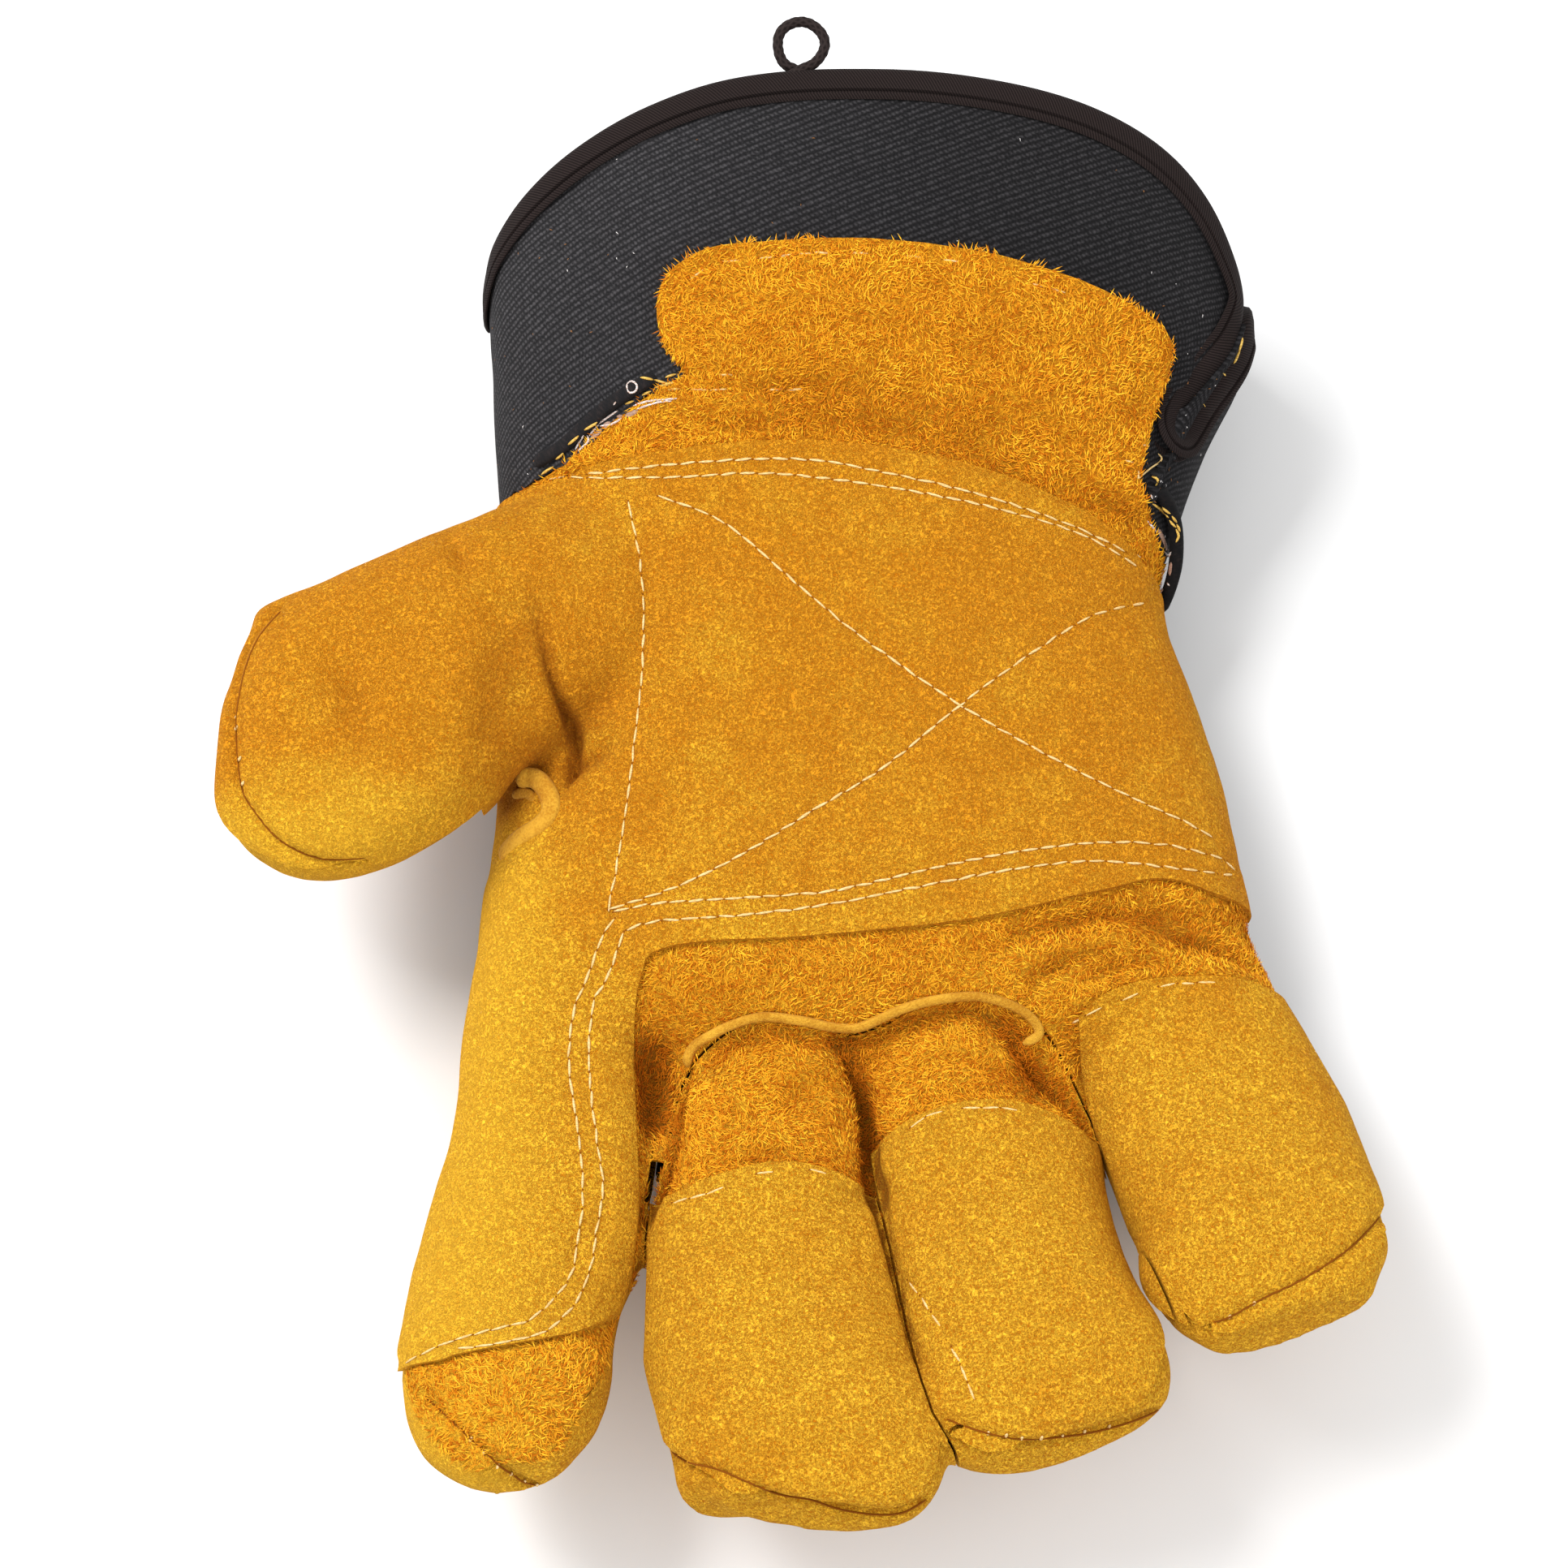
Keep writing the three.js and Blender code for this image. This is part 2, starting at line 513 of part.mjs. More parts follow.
// A ring of black cord on the rim
const hangerStation = rimLine.reduce((best, p) => (
  p.z > SIDE_SEAM_Z && Math.abs(p.x - HANGER_X) < Math.abs(best.x - HANGER_X) ? p : best
), new THREE.Vector3(TALL, 0, 0));
const loopTilt = THREE.MathUtils.degToRad(LOOP_TILT);
const loopAxis = new THREE.Vector3(0, Math.cos(loopTilt), Math.sin(loopTilt));
const loopFace = new THREE.Vector3(0, -Math.sin(loopTilt), Math.cos(loopTilt));
const loopLift = tapeOut + GAP + LOOP_CORD / 2 + LOOP_RADIUS_Y;
const loopCentre = new THREE.Vector3(HANGER_X, hangerStation.y, hangerStation.z - DENIM / 2)
  .addScaledVector(loopAxis, loopLift);
const loopRings = Array.from({ length: LOOP_STEPS }, (_, i) => {
  const angle = (i / LOOP_STEPS) * 2 * Math.PI;
  const spoke = new THREE.Vector3(Math.cos(angle), 0, 0).addScaledVector(loopAxis, Math.sin(angle));
  const centre = loopCentre.clone().add(new THREE.Vector3(LOOP_RADIUS_X * Math.cos(angle), 0, 0))
    .addScaledVector(loopAxis, LOOP_RADIUS_Y * Math.sin(angle));
  return Array.from({ length: CORD_SIDES }, (__, j) => {
    const turnBy = (j / CORD_SIDES) * 2 * Math.PI;
    return centre.clone().addScaledVector(spoke, (LOOP_CORD / 2) * Math.cos(turnBy))
      .addScaledVector(loopFace, -(LOOP_CORD / 2) * Math.sin(turnBy));
  });
});
addPiece('hanging_loop', skin(loopRings, true), TAPE, 0.8);

// Welts and seam rolls are raised strips that follow the surface under them
const raised = shell(WELT_HEIGHT, GAP).intersect(palmSide);
const weltLine = FINGER_SEAM.slice(0, WELT_END);
addPiece('finger_welt', raised.intersect(band(weltLine, WELT_WIDTH)), STRIP, 0.9);
addPiece('thumb_welt', raised.intersect(band(circle(THUMB_RING, 12), WELT_WIDTH)), STRIP, 0.9);

const rollWall = trunk(ROLL_HEIGHT).subtract(trunk(GAP)).subtract(cuffRoom).intersect(frontHalf);
addPiece('seam_roll_left', rollWall.intersect(band(ROLL_LEFT, ROLL_WIDTH)), TWILL, 0.95);
addPiece('seam_roll_right', rollWall.intersect(band(ROLL_RIGHT, ROLL_WIDTH)), TWILL, 0.95);

export default group;
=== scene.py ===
import json
import math
import random

import bmesh
import bpy
import numpy as np
from bpy.props import FloatProperty, FloatVectorProperty, PointerProperty
from mathutils import Matrix, Vector, noise
from mathutils.bvhtree import BVHTree

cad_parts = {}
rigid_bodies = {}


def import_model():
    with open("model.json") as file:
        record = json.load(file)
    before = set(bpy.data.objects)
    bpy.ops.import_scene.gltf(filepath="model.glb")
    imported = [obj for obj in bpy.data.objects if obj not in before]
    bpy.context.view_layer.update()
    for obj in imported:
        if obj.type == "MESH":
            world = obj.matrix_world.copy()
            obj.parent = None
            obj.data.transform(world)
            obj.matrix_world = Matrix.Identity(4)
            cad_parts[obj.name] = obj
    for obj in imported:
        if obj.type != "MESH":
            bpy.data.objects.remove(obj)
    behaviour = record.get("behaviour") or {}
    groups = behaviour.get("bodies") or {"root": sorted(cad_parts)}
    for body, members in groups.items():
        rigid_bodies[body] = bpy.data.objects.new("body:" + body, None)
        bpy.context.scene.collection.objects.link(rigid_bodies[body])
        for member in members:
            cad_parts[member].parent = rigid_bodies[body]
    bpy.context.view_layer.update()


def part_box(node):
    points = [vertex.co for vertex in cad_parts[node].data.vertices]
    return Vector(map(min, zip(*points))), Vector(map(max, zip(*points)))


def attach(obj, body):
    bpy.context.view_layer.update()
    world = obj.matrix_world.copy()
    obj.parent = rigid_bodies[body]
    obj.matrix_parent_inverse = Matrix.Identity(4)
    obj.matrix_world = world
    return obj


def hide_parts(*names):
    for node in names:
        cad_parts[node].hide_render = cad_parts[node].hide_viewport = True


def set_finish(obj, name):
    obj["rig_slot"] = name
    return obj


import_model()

bl_info = {
    "name": "Leather palm work glove",
    "version": (1, 0, 0),
    "blender": (4, 5, 0),
    "location": "View3D > Sidebar > Glove",
    "description": "Makes a right-hand work glove of split leather and black denim",
    "category": "Add Mesh",
}

# Modelling is in millimetres and a finished piece is turned to metres.
MM = 0.001

# The photograph's camera, and the frame that the pixel coordinates below are in
PHOTO = 1932
LENS = 90.0
SENSOR = 36.0
ELEVATION = math.radians(70)
DISTANCE = 690.0
AIM = Vector((0, 0, 38))
LOOK = Vector((0, math.cos(ELEVATION), -math.sin(ELEVATION)))
UPWARD = Vector((0, math.sin(ELEVATION), math.cos(ELEVATION)))
CAMERA_AT = AIM - LOOK * DISTANCE
FOCAL = LENS / SENSOR * PHOTO
MM_PER_PIXEL = DISTANCE / FOCAL
ON_SIDE = Matrix.Rotation(math.pi / 2, 4, "Y")

# The hand's body and the cuff are one flared tube:
# y, centre x, centre z, half width, half thickness
TRUNK = [
    (140, 15.0, 33.0, 70.0, 31.0),
    (112, 15.2, 33.0, 70.3, 31.0),
    (96, 15.6, 32.0, 70.4, 30.0),
    (84, 15.6, 30.0, 69.4, 28.5),
    (70, 12.4, 27.0, 65.6, 26.5),
    (56, 10.4, 24.5, 62.4, 25.3),
    (40, 9.0, 23.0, 59.0, 24.6),
    (15, 12.4, 22.8, 62.4, 24.6),
    (-10, 14.6, 22.4, 65.6, 24.0),
    (-28, 15.0, 21.6, 67.6, 22.4),
    (-38, 15.2, 20.8, 68.6, 20.4),
    (-45, 15.4, 20.0, 67.0, 15.6),
    (-50, 15.4, 19.0, 62.0, 8.0),
]

# A finger's rows: x, y, z, half width, half thickness, and the side seam's height as a share of the
# half thickness
INDEX = [
    (-37.0, -16, 22.0, 15.0, 16.0, 0.0),
    (-39.2, -40, 22.2, 15.4, 16.6, 0.0),
    (-39.2, -60, 22.8, 17.2, 15.6, 0.0),
    (-41.0, -74, 25.0, 18.2, 15.0, 0.0),
    (-45.4, -92, 30.0, 17.2, 14.4, 0.1),
    (-46.2, -106, 36.2, 17.6, 12.8, 0.3),
    (-44.9, -116, 41.0, 14.8, 10.2, 0.55),
    (-43.4, -122.6, 44.0, 7.8, 5.4, 0.6),
]
MIDDLE = [
    (-2.0, -30, 21.0, 19.2, 15.2, 0.0),
    (-3.4, -52, 21.6, 18.4, 15.8, 0.0),
    (-4.0, -68, 23.6, 19.8, 15.4, 0.0),
    (-2.2, -82, 26.0, 20.8, 14.8, 0.0),
    (-0.8, -98, 31.0, 21.7, 14.2, 0.1),
    (2.0, -112, 36.8, 21.8, 13.0, 0.3),
    (5.2, -121.6, 41.4, 22.0, 10.8, 0.55),
    (5.0, -128.4, 45.0, 15.6, 6.0, 0.6),
]
RING = [
    (32.0, -30, 21.0, 19.0, 15.2, 0.0),
    (32.8, -52, 21.6, 19.8, 15.6, 0.0),
    (34.4, -68, 23.8, 19.8, 15.2, 0.0),
    (37.1, -82, 27.2, 19.1, 14.6, 0.0),
    (40.2, -96, 32.2, 19.8, 13.6, 0.2),
    (43.6, -107, 37.0, 21.6, 12.0, 0.45),
    (45.4, -113, 40.8, 19.4, 9.6, 0.6),
    (46.6, -116.8, 43.4, 12.6, 5.4, 0.6),
]
LITTLE = [
    (64.0, -22, 21.0, 16.0, 14.0, 0.0),
    (67.6, -38, 21.2, 19.0, 15.2, 0.0),
    (73.2, -53, 23.4, 20.2, 15.2, 0.0),
    (77.8, -66, 27.0, 20.4, 14.6, 0.1),
    (81.2, -77, 31.6, 20.2, 13.6, 0.3),
    (82.4, -87.6, 36.0, 20.4, 11.4, 0.55),
    (85.0, -96.2, 40.0, 14.6, 6.2, 0.6),
]
THUMB = [
    (-20.0, 43.0, 24.0, 15.0, 15.0, 0.0),
    (-35.0, 35.4, 30.0, 21.6, 18.0, 0.0),
    (-48.0, 28.4, 34.8, 22.4, 18.0, 0.0),
    (-60.4, 20.6, 38.4, 22.8, 17.0, 0.05),
    (-72.2, 11.6, 41.0, 25.4, 15.6, 0.15),
    (-84.0, 5.0, 42.8, 25.4, 13.4, 0.35),
    (-92.6, 3.2, 43.6, 19.6, 10.2, 0.45),
    (-97.8, 3.0, 44.2, 9.8, 5.2, 0.45),
]
FINGERS = (INDEX, MIDDLE, RING, LITTLE)

# How square the tube, a finger and a strip are in section, where 2 is an oval
TRUNK_POWER = 2.5
FINGER_POWER = 2.25
STRIP_POWER = 2.6

# Stations round the cuff: rim angle, rim y, wrist angle. Angle 0 is the little-finger side.
RIM = [
    (180, 98, 180), (164, 103, 165), (149, 109, 150), (134, 115.4, 135), (119, 121.6, 120),
    (105, 126, 105), (90, 127.4, 90), (75, 125.4, 75), (60, 121.6, 60), (45, 115.6, 49),
    (33, 108.4, 43), (24, 100.4, 40), (17, 92.4, 38), (20.4, 83.5, 36), (24, 77.4, 33.8),
    (27.2, 72, 32), (27.6, 68.6, 30.4), (26, 67.8, 29), (24, 70.4, 27),
    (21.6, 76.4, 24), (17.4, 83, 20), (11, 90, 13),
    (-3, 97, 0), (-25, 105, -22), (-45, 114, -45), (-68, 121, -68), (-90, 123, -90),
    (-112, 121, -112), (-135, 115, -135), (-158, 108, -158),
]
WRIST_Y = 34

# Plan outlines in x and y
PLAN_SIDE = 130
PLAN_END = -140
TALL = 200
KNUCKLE_Y = -56
GAP_TOP_Y = -30
SIDE_SEAM_Z = 23
SEAM_BACK_Y = 56
INDEX_BACK_Y = -22
FINGER_BACK_Y = -65
SEAM_FRONT = [
    (-PLAN_SIDE, 57), (-52, 57), (-44, 57.8), (-38, 60.4), (-30, 66), (-20, 71), (0, 73.4), (30, 72),
    (48, 69), (58, 64), (64, 56), (67.4, 49), (72, 43.6), (78, 41), (PLAN_SIDE, 40),
]
TAB = [
    (-14, 66), (-18, 73), (-21.6, 78), (-22.8, 83), (-21.6, 88), (-17.5, 91.4), (-10, 93.6), (12, 94.2),
    (34, 92.2), (52, 88.2), (65, 83.6), (69.6, 80), (69.2, 75), (66.6, 68), (64.4, 60), (63.0, 53),
    (56, 58), (44, 64), (20, 67),
]
PATCH_EDGE = [
    (-PLAN_SIDE, 56), (-53, 56), (-42, 56.4), (-28, 58.6), (5, 60.4), (34, 56.4), (54, 50), (64, 44),
    (78, 34), (110, 30), (110, -18), (80, -20), (66, -18.4), (54, -21.6), (33, -27), (5, -30),
    (-20, -31.5), (-24.6, -36), (-26, -46), (-25.4, -60), (-24.8, -76), (-27, -91), (-31, -97),
    (-38, -100.4), (-54, -103.6), (-64, -104.6), (-PLAN_SIDE, -104),
]
FINGER_SEAM = [
    (-19.8, -62), (-17.4, -52.4), (-12, -46.2), (-5, -43.1), (3, -43.3), (10, -44.5), (16, -43.5),
    (23, -41.1), (31, -39.5), (38, -40.1), (43.4, -43.4), (47.6, -47.6), (54, -60),
]
MIDDLE_TIP_EDGE = [(-40, -75), (-20, -73.6), (-12, -71), (-2, -68.6), (8, -69.6), (18, -73), (40, -76)]
RING_TIP_EDGE = [(-2, -70), (14, -64.6), (22, -60), (32, -57.6), (42, -58), (52, -62), (70, -70)]
LITTLE_TIP_EDGE = [
    (45, -54), (48.6, -45.6), (54, -39.8), (62, -36.4), (72, -35), (82, -35.4), (110, -40),
]
INDEX_MIDDLE_GAP = [
    (-19.6, -30), (-21.4, -56), (-22.9, -68), (-23.6, -82), (-23.8, -98), (-26, PLAN_END),
]
MIDDLE_RING_GAP = [
    (13.4, -30), (13.8, -56), (15.2, -68), (18.0, -82), (20.6, -97), (22.6, -107), (24.4, -113),
    (28, -118.5), (37, PLAN_END),
]
RING_LITTLE_GAP = [
    (49, -30), (52.2, -56), (56.6, -70), (60.0, -82), (63, -90), (65.4, -96), (69.4, -107),
    (74, PLAN_END),
]
THUMB_SEAM = [(-54, 70), (-54, 44), (-53, 10), (-52.8, -6), (-60, -30)]
ROLL_LEFT = [(-45, 60.6), (-39.4, 62.6), (-31.6, 68.2), (-23, 72.6)]
# The right roll, in the photograph's pixels, each with its height (mm)
ROLL_RIGHT = [
    (1420, 596, 39.0), (1436, 616, 37.0), (1446, 641, 34.0), (1449, 668, 31.0), (1447, 700, 28.0),
    (1438, 732, 25.5), (1426, 758, 23.5),
]

# Gaps that part neighbouring pieces, and the open slit between the index and middle fingers
SLOT = 0.5
FINGER_SLIT = [(-21.7, -66.2), (-22.3, -69.5), (-23.0, -73.2)]
FINGER_SLIT_WIDTH = 2.2
SEAM_SLIT = 0.2
OVERLAY_GAP = 0.05

# Folds and dents of the form, in the photograph's pixels: how wide (mm), then px, py and depth (mm)
FOLDS = {
    "thumb root": (1.2, [
        (655, 700, 0), (668, 775, 1.2), (686, 845, 2.4), (704, 893, 3.2), (708, 922, 3.2),
        (698, 955, 2.4), (694, 975, 1.0)]),
    "thumb root shade": (8.0, [(700, 640, 0), (716, 780, 0.8), (728, 900, 1.0), (722, 1010, 0.3)]),
    "thumb root branch": (1.6, [(706, 950, 1.8), (738, 930, 1.6), (772, 900, 0)]),
    "thumb hollow": (6.0, [(648, 640, 0), (652, 760, 1.5), (630, 880, 1.4), (600, 950, 0)]),
    "thumb band": (4.0, [(604, 690, 0), (610, 800, 1.2), (596, 900, 0.9)]),
    "thumb nick": (1.4, [(548, 650, 0), (566, 690, 1.8), (578, 730, 0)]),
    "thumb crease": (4.6, [(410, 740, 0), (424, 840, 1.9), (440, 900, 1.7), (470, 940, 0)]),
    "thumb crease two": (3.4, [(486, 700, 0), (492, 790, 1.0), (484, 860, 0)]),
    "thumb crotch": (3.0, [(700, 960, 0), (660, 955, 1.6), (625, 980, 2.0)]),
    "valley one": (1.8, [(842, 1325, 2.6), (828, 1400, 3.8), (812, 1465, 4.0), (798, 1500, 2)]),
    "valley one side": (4.0, [(800, 1200, 0), (800, 1290, 1.6), (812, 1380, 2.4)]),
    "valley two": (1.4, [
        (1036, 1285, 0), (1052, 1318, 3.4), (1065, 1370, 5.6), (1075, 1440, 4.0), (1088, 1520, 2.4),
        (1106, 1600, 1.8), (1128, 1680, 1.2)]),
    "valley three": (1.7, [(1262, 1292, 1.6), (1285, 1315, 4.8), (1315, 1350, 5.0), (1336, 1392, 3.4)]),
    "valley three side": (3.0, [
        (1220, 1262, 0), (1262, 1310, 2.0), (1290, 1345, 1.6), (1305, 1365, 0)]),
    "under patch one": (2.6, [
        (1180, 1190, 0), (1245, 1160, 1.8), (1310, 1140, 2.5), (1390, 1124, 2.5), (1460, 1134, 2.2),
        (1530, 1152, 1)]),
    "strip wrinkle one": (2.2, [
        (1255, 1240, 0), (1292, 1200, 2.4), (1345, 1178, 2.2), (1410, 1170, 0.8)]),
    "strip wrinkle two": (2.0, [
        (1400, 1130, 0), (1456, 1158, 2.4), (1510, 1172, 2.6), (1545, 1192, 1.6)]),
    "strip wrinkle three": (1.8, [
        (1300, 1232, 0), (1350, 1204, 1.6), (1410, 1190, 1.8), (1480, 1192, 0)]),
    "below welt": (2.0, [
        (862, 1320, 1.2), (880, 1296, 2.0), (940, 1276, 2.0), (1020, 1288, 2.0), (1100, 1268, 2.0),
        (1200, 1250, 2.0), (1255, 1280, 2.4)]),
    "finger wrinkle one": (2.4, [
        (880, 1420, 0), (920, 1380, 1.2), (985, 1350, 1.4), (1040, 1330, 0.6)]),
    "finger wrinkle two": (2.0, [
        (1100, 1350, 0.6), (1160, 1310, 1.4), (1230, 1320, 1.4), (1285, 1345, 0.6)]),
    "middle knuckle": (2.6, [(845, 1450, 0.6), (900, 1432, 1.6), (980, 1418, 1.8), (1060, 1440, 1.0)]),
    "middle sag": (3.0, [(960, 1470, 0), (1020, 1482, 1.4), (1085, 1470, 1.6)]),
    "ring knuckle": (2.4, [(1085, 1402, 0.6), (1150, 1352, 1.6), (1230, 1342, 1.6), (1300, 1360, 0.6)]),
    "ring sag": (3.2, [(1120, 1470, 0), (1200, 1440, 1.0), (1290, 1450, 0.8)]),
    "wrist roll": (3.2, [
        (720, 562, 0), (800, 537, 1.2), (930, 524, 1.4), (1080, 532, 1.5), (1240, 577, 1.9),
        (1400, 642, 2.2)]),
    "wrist roll two": (3.0, [
        (860, 505, 0), (960, 500, 1.0), (1090, 508, 1.2), (1210, 540, 1.0), (1300, 572, 0)]),
    "tab foot": (3.0, [
        (850, 470, 0), (930, 478, 1.2), (1100, 484, 1.4), (1280, 536, 1.4), (1410, 590, 1.4)]),
    "index hollow": (8.0, [(650, 1130, 0), (670, 1250, 1.0), (660, 1380, 1.0), (640, 1500, 0)]),
    "index drag one": (2.2, [(575, 1570, 0), (640, 1590, 0.7), (700, 1560, 0.8), (740, 1500, 0)]),
    "index drag two": (2.0, [(560, 1610, 0), (620, 1620, 0.6), (680, 1600, 0.5), (715, 1570, 0)]),
    "palm hollow": (20.0, [(960, 700, 0.4), (1050, 850, 1.2), (1000, 980, 0.6)]),
    "palm side": (14.0, [(1380, 760, 0), (1340, 900, 1.0), (1420, 1000, 0.5)]),
    "middle tip sag": (4.0, [(880, 1740, 0), (960, 1790, 0.9), (1060, 1800, 0.6)]),
    "ring tip sag": (4.0, [(1200, 1690, 0), (1280, 1720, 0.8), (1370, 1700, 0)]),
}

# Seams at the fingertips: a narrow groove where the palm's leather is sewn to the back's
TIP_SEAMS = {
    "thumb": [
        (346, 753), (321, 782), (306, 813), (296, 851), (291, 893), (294, 943), (300, 977), (317, 1004),
        (340, 1031), (371, 1050), (405, 1059), (451, 1057)],
    "index": [
        (523, 1720), (560, 1754), (580, 1773), (598, 1789), (615, 1806), (630, 1816), (645, 1826),
        (662, 1830)],
    "middle": [
        (823, 1785), (846, 1801), (883, 1810), (919, 1825), (959, 1841), (999, 1848), (1032, 1859),
        (1075, 1866), (1112, 1864), (1141, 1848)],
    "ring": [
        (1166, 1748), (1206, 1763), (1256, 1773), (1305, 1771), (1355, 1763), (1405, 1748),
        (1441, 1730)],
    "little": [
        (1495, 1629), (1515, 1623), (1558, 1599), (1598, 1580), (1638, 1556), (1671, 1531),
        (1701, 1498)],
}
TIP_SEAM_WIDTH = 0.9
TIP_SEAM_DEPTH = 1.3

# White stitches that show in the tip seams
TIP_BITS = [
    (291, 884), (292, 897), (296, 935), (300, 965), (580, 1774), (596, 1790), (613, 1806), (629, 1816),
    (646, 1825), (662, 1829), (823, 1785), (1218, 1766), (1240, 1768), (1259, 1771), (1283, 1771),
    (1309, 1769), (1336, 1764), (1366, 1758), (1515, 1622), (1545, 1606),
]

# Threads at the wrist's rolled seams and the tape's corner, each a line in the photograph's pixels
YELLOW_THREADS = [
    [(667, 585), (682, 575)], [(684, 566), (694, 558)], [(700, 548), (713, 537)],
    [(720, 530), (736, 520)], [(770, 498), (781, 494)], [(791, 487), (802, 482)],
    [(789, 465), (805, 468)], [(807, 478), (831, 471)], [(820, 465), (833, 461)],
    [(823, 480), (838, 479)], [(806, 468), (826, 474)], [(1531, 416), (1525, 436), (1520, 448)],
    [(1507, 460), (1510, 463)], [(1483, 498), (1485, 501)], [(1420, 621), (1430, 628), (1440, 638)],
    [(1441, 641), (1449, 650)], [(1449, 652), (1452, 660), (1449, 668)], [(1432, 625), (1442, 633)],
    [(1444, 636), (1450, 644)], [(1450, 646), (1454, 655)], [(1419, 587), (1427, 592), (1424, 599)],
]
WHITE_THREADS = [
    [(780, 500), (801, 494), (834, 491)], [(785, 504), (810, 496), (828, 494)],
    [(738, 522), (761, 506)], [(739, 525), (753, 523), (767, 515)], [(726, 537), (738, 523)],
    [(709, 554), (719, 536)], [(712, 556), (725, 544), (723, 536)], [(756, 499), (759, 495)],
    [(1418, 609), (1420, 615)], [(1414, 642), (1425, 656)], [(1435, 680), (1440, 686), (1443, 680)],
    [(1438, 718), (1441, 722)],
    [(773, 481), (773, 474), (779, 470), (785, 475), (783, 482), (776, 484), (773, 480)],
]
PINK_THREADS = [
    [(755, 518), (767, 512)], [(770, 513), (786, 506)], [(728, 541), (741, 529)],
    [(742, 527), (752, 520)], [(1427, 652), (1434, 666), (1438, 678)], [(1443, 693), (1441, 709)],
    [(1429, 731), (1433, 725)],
]
CREAM_THREADS = [
    [(1402, 590), (1417, 577), (1431, 567), (1427, 559)], [(1403, 580), (1402, 590)],
    [(1408, 548), (1416, 550)], [(1386, 567), (1397, 570)],
]

# Rows of stitches on the palm side, in the photograph's pixels
STITCH_ROWS = {
    "top outer": [
        (700, 587), (810, 574), (919, 566), (1007, 567), (1084, 581), (1172, 600), (1249, 622),
        (1331, 652), (1408, 691)],
    "top inner": [
        (700, 589), (837, 588), (919, 583), (996, 587), (1111, 603), (1221, 625), (1331, 658),
        (1402, 699)],
    "top left": [(625, 605), (660, 594), (700, 587)],
    "thumb side": [
        (774, 617), (790, 705), (792, 814), (782, 913), (771, 1001), (760, 1067), (749, 1124)],
    "cross one": [
        (810, 611), (892, 644), (980, 718), (1046, 773), (1106, 817), (1183, 869), (1249, 908),
        (1320, 946), (1386, 979), (1468, 1017), (1495, 1034)],
    "cross two": [
        (749, 1121), (837, 1091), (919, 1050), (1007, 995), (1084, 949), (1183, 869), (1249, 820),
        (1320, 773), (1358, 754), (1413, 743)],
    "bottom outer": [
        (755, 1124), (810, 1113), (919, 1106), (1029, 1097), (1139, 1072), (1249, 1050), (1358, 1038),
        (1441, 1042), (1512, 1061), (1523, 1075)],
    "bottom inner": [
        (771, 1146), (810, 1135), (919, 1127), (1029, 1113), (1139, 1091), (1249, 1071), (1347, 1061),
        (1441, 1069), (1523, 1080)],
    "index left": [
        (758, 1131), (744, 1150), (726, 1198), (708, 1241), (702, 1278), (701, 1310), (706, 1356),
        (712, 1391), (718, 1455), (716, 1502), (710, 1533), (707, 1564), (691, 1591), (673, 1610),
        (651, 1628), (618, 1636), (581, 1645), (553, 1654), (526, 1666), (498, 1682)],
    "index right": [
        (769, 1148), (758, 1179), (748, 1206), (732, 1230), (728, 1262), (725, 1294), (729, 1356),
        (738, 1423), (743, 1457), (740, 1487), (734, 1518), (731, 1548), (723, 1576), (713, 1600),
        (694, 1623), (671, 1642), (636, 1651), (593, 1659), (563, 1662)],
    "middle tip": [(828, 1482), (880, 1468), (930, 1447), (993, 1441), (1040, 1452)],
    "ring tip": [(1085, 1420), (1141, 1376), (1182, 1366), (1229, 1365), (1279, 1371)],
    "little tip": [(1316, 1263), (1343, 1248), (1373, 1236), (1406, 1223), (1439, 1213), (1499, 1210)],
    "ring side": [(1118, 1577), (1146, 1615), (1179, 1672), (1199, 1721), (1212, 1748)],
    "tab top": [
        (850, 345), (880, 325), (940, 318), (1014, 311), (1112, 315), (1202, 326), (1269, 348),
        (1336, 367)],
    "tab foot one": [(830, 458), (868, 461), (905, 462)],
    "tab foot two": [(850, 480), (930, 480), (1015, 480)],
}
# Rows that the nap half hides
BURIED_ROWS = (
    "middle tip", "ring tip", "little tip", "ring side", "tab top", "tab foot one", "tab foot two",
)

# How deep and wide a row of stitches pulls the leather in
STITCHED_DEPTH = 0.4
STITCHED_WIDTH = 1.5

# The welt above the two middle fingers, and the welt and flap at the thumb's root, in the photograph's
# pixels
FINGER_WELT = [
    (847, 1315), (855, 1292), (878, 1275), (906, 1261), (940, 1252), (984, 1256), (1027, 1264),
    (1057, 1264), (1083, 1254), (1111, 1242), (1153, 1231), (1205, 1227), (1249, 1239), (1273, 1256),
    (1279, 1274), (1261, 1286)]
THUMB_WELT = [
    (636, 957), (656, 957), (672, 968), (682, 988), (681, 1006), (666, 1022), (642, 1038), (622, 1062)]
THUMB_FLAP = [(632, 980), (652, 978), (662, 990), (660, 1004), (646, 1014), (628, 1018)]


# Places on curves and surfaces

def smooth_row(rows, place):
    """A row at a fractional place in a table, on a smooth curve through its rows."""
    i = min(int(place), len(rows) - 2)
    t = place - i
    a, b, c, d = (np.array(rows[min(max(k, 0), len(rows) - 1)], float) for k in range(i - 1, i + 3))
    return 0.5 * (2 * b + (c - a) * t + (2 * a - 5 * b + 4 * c - d) * t**2 + (3 * b - a - 3 * c + d) * t**3)


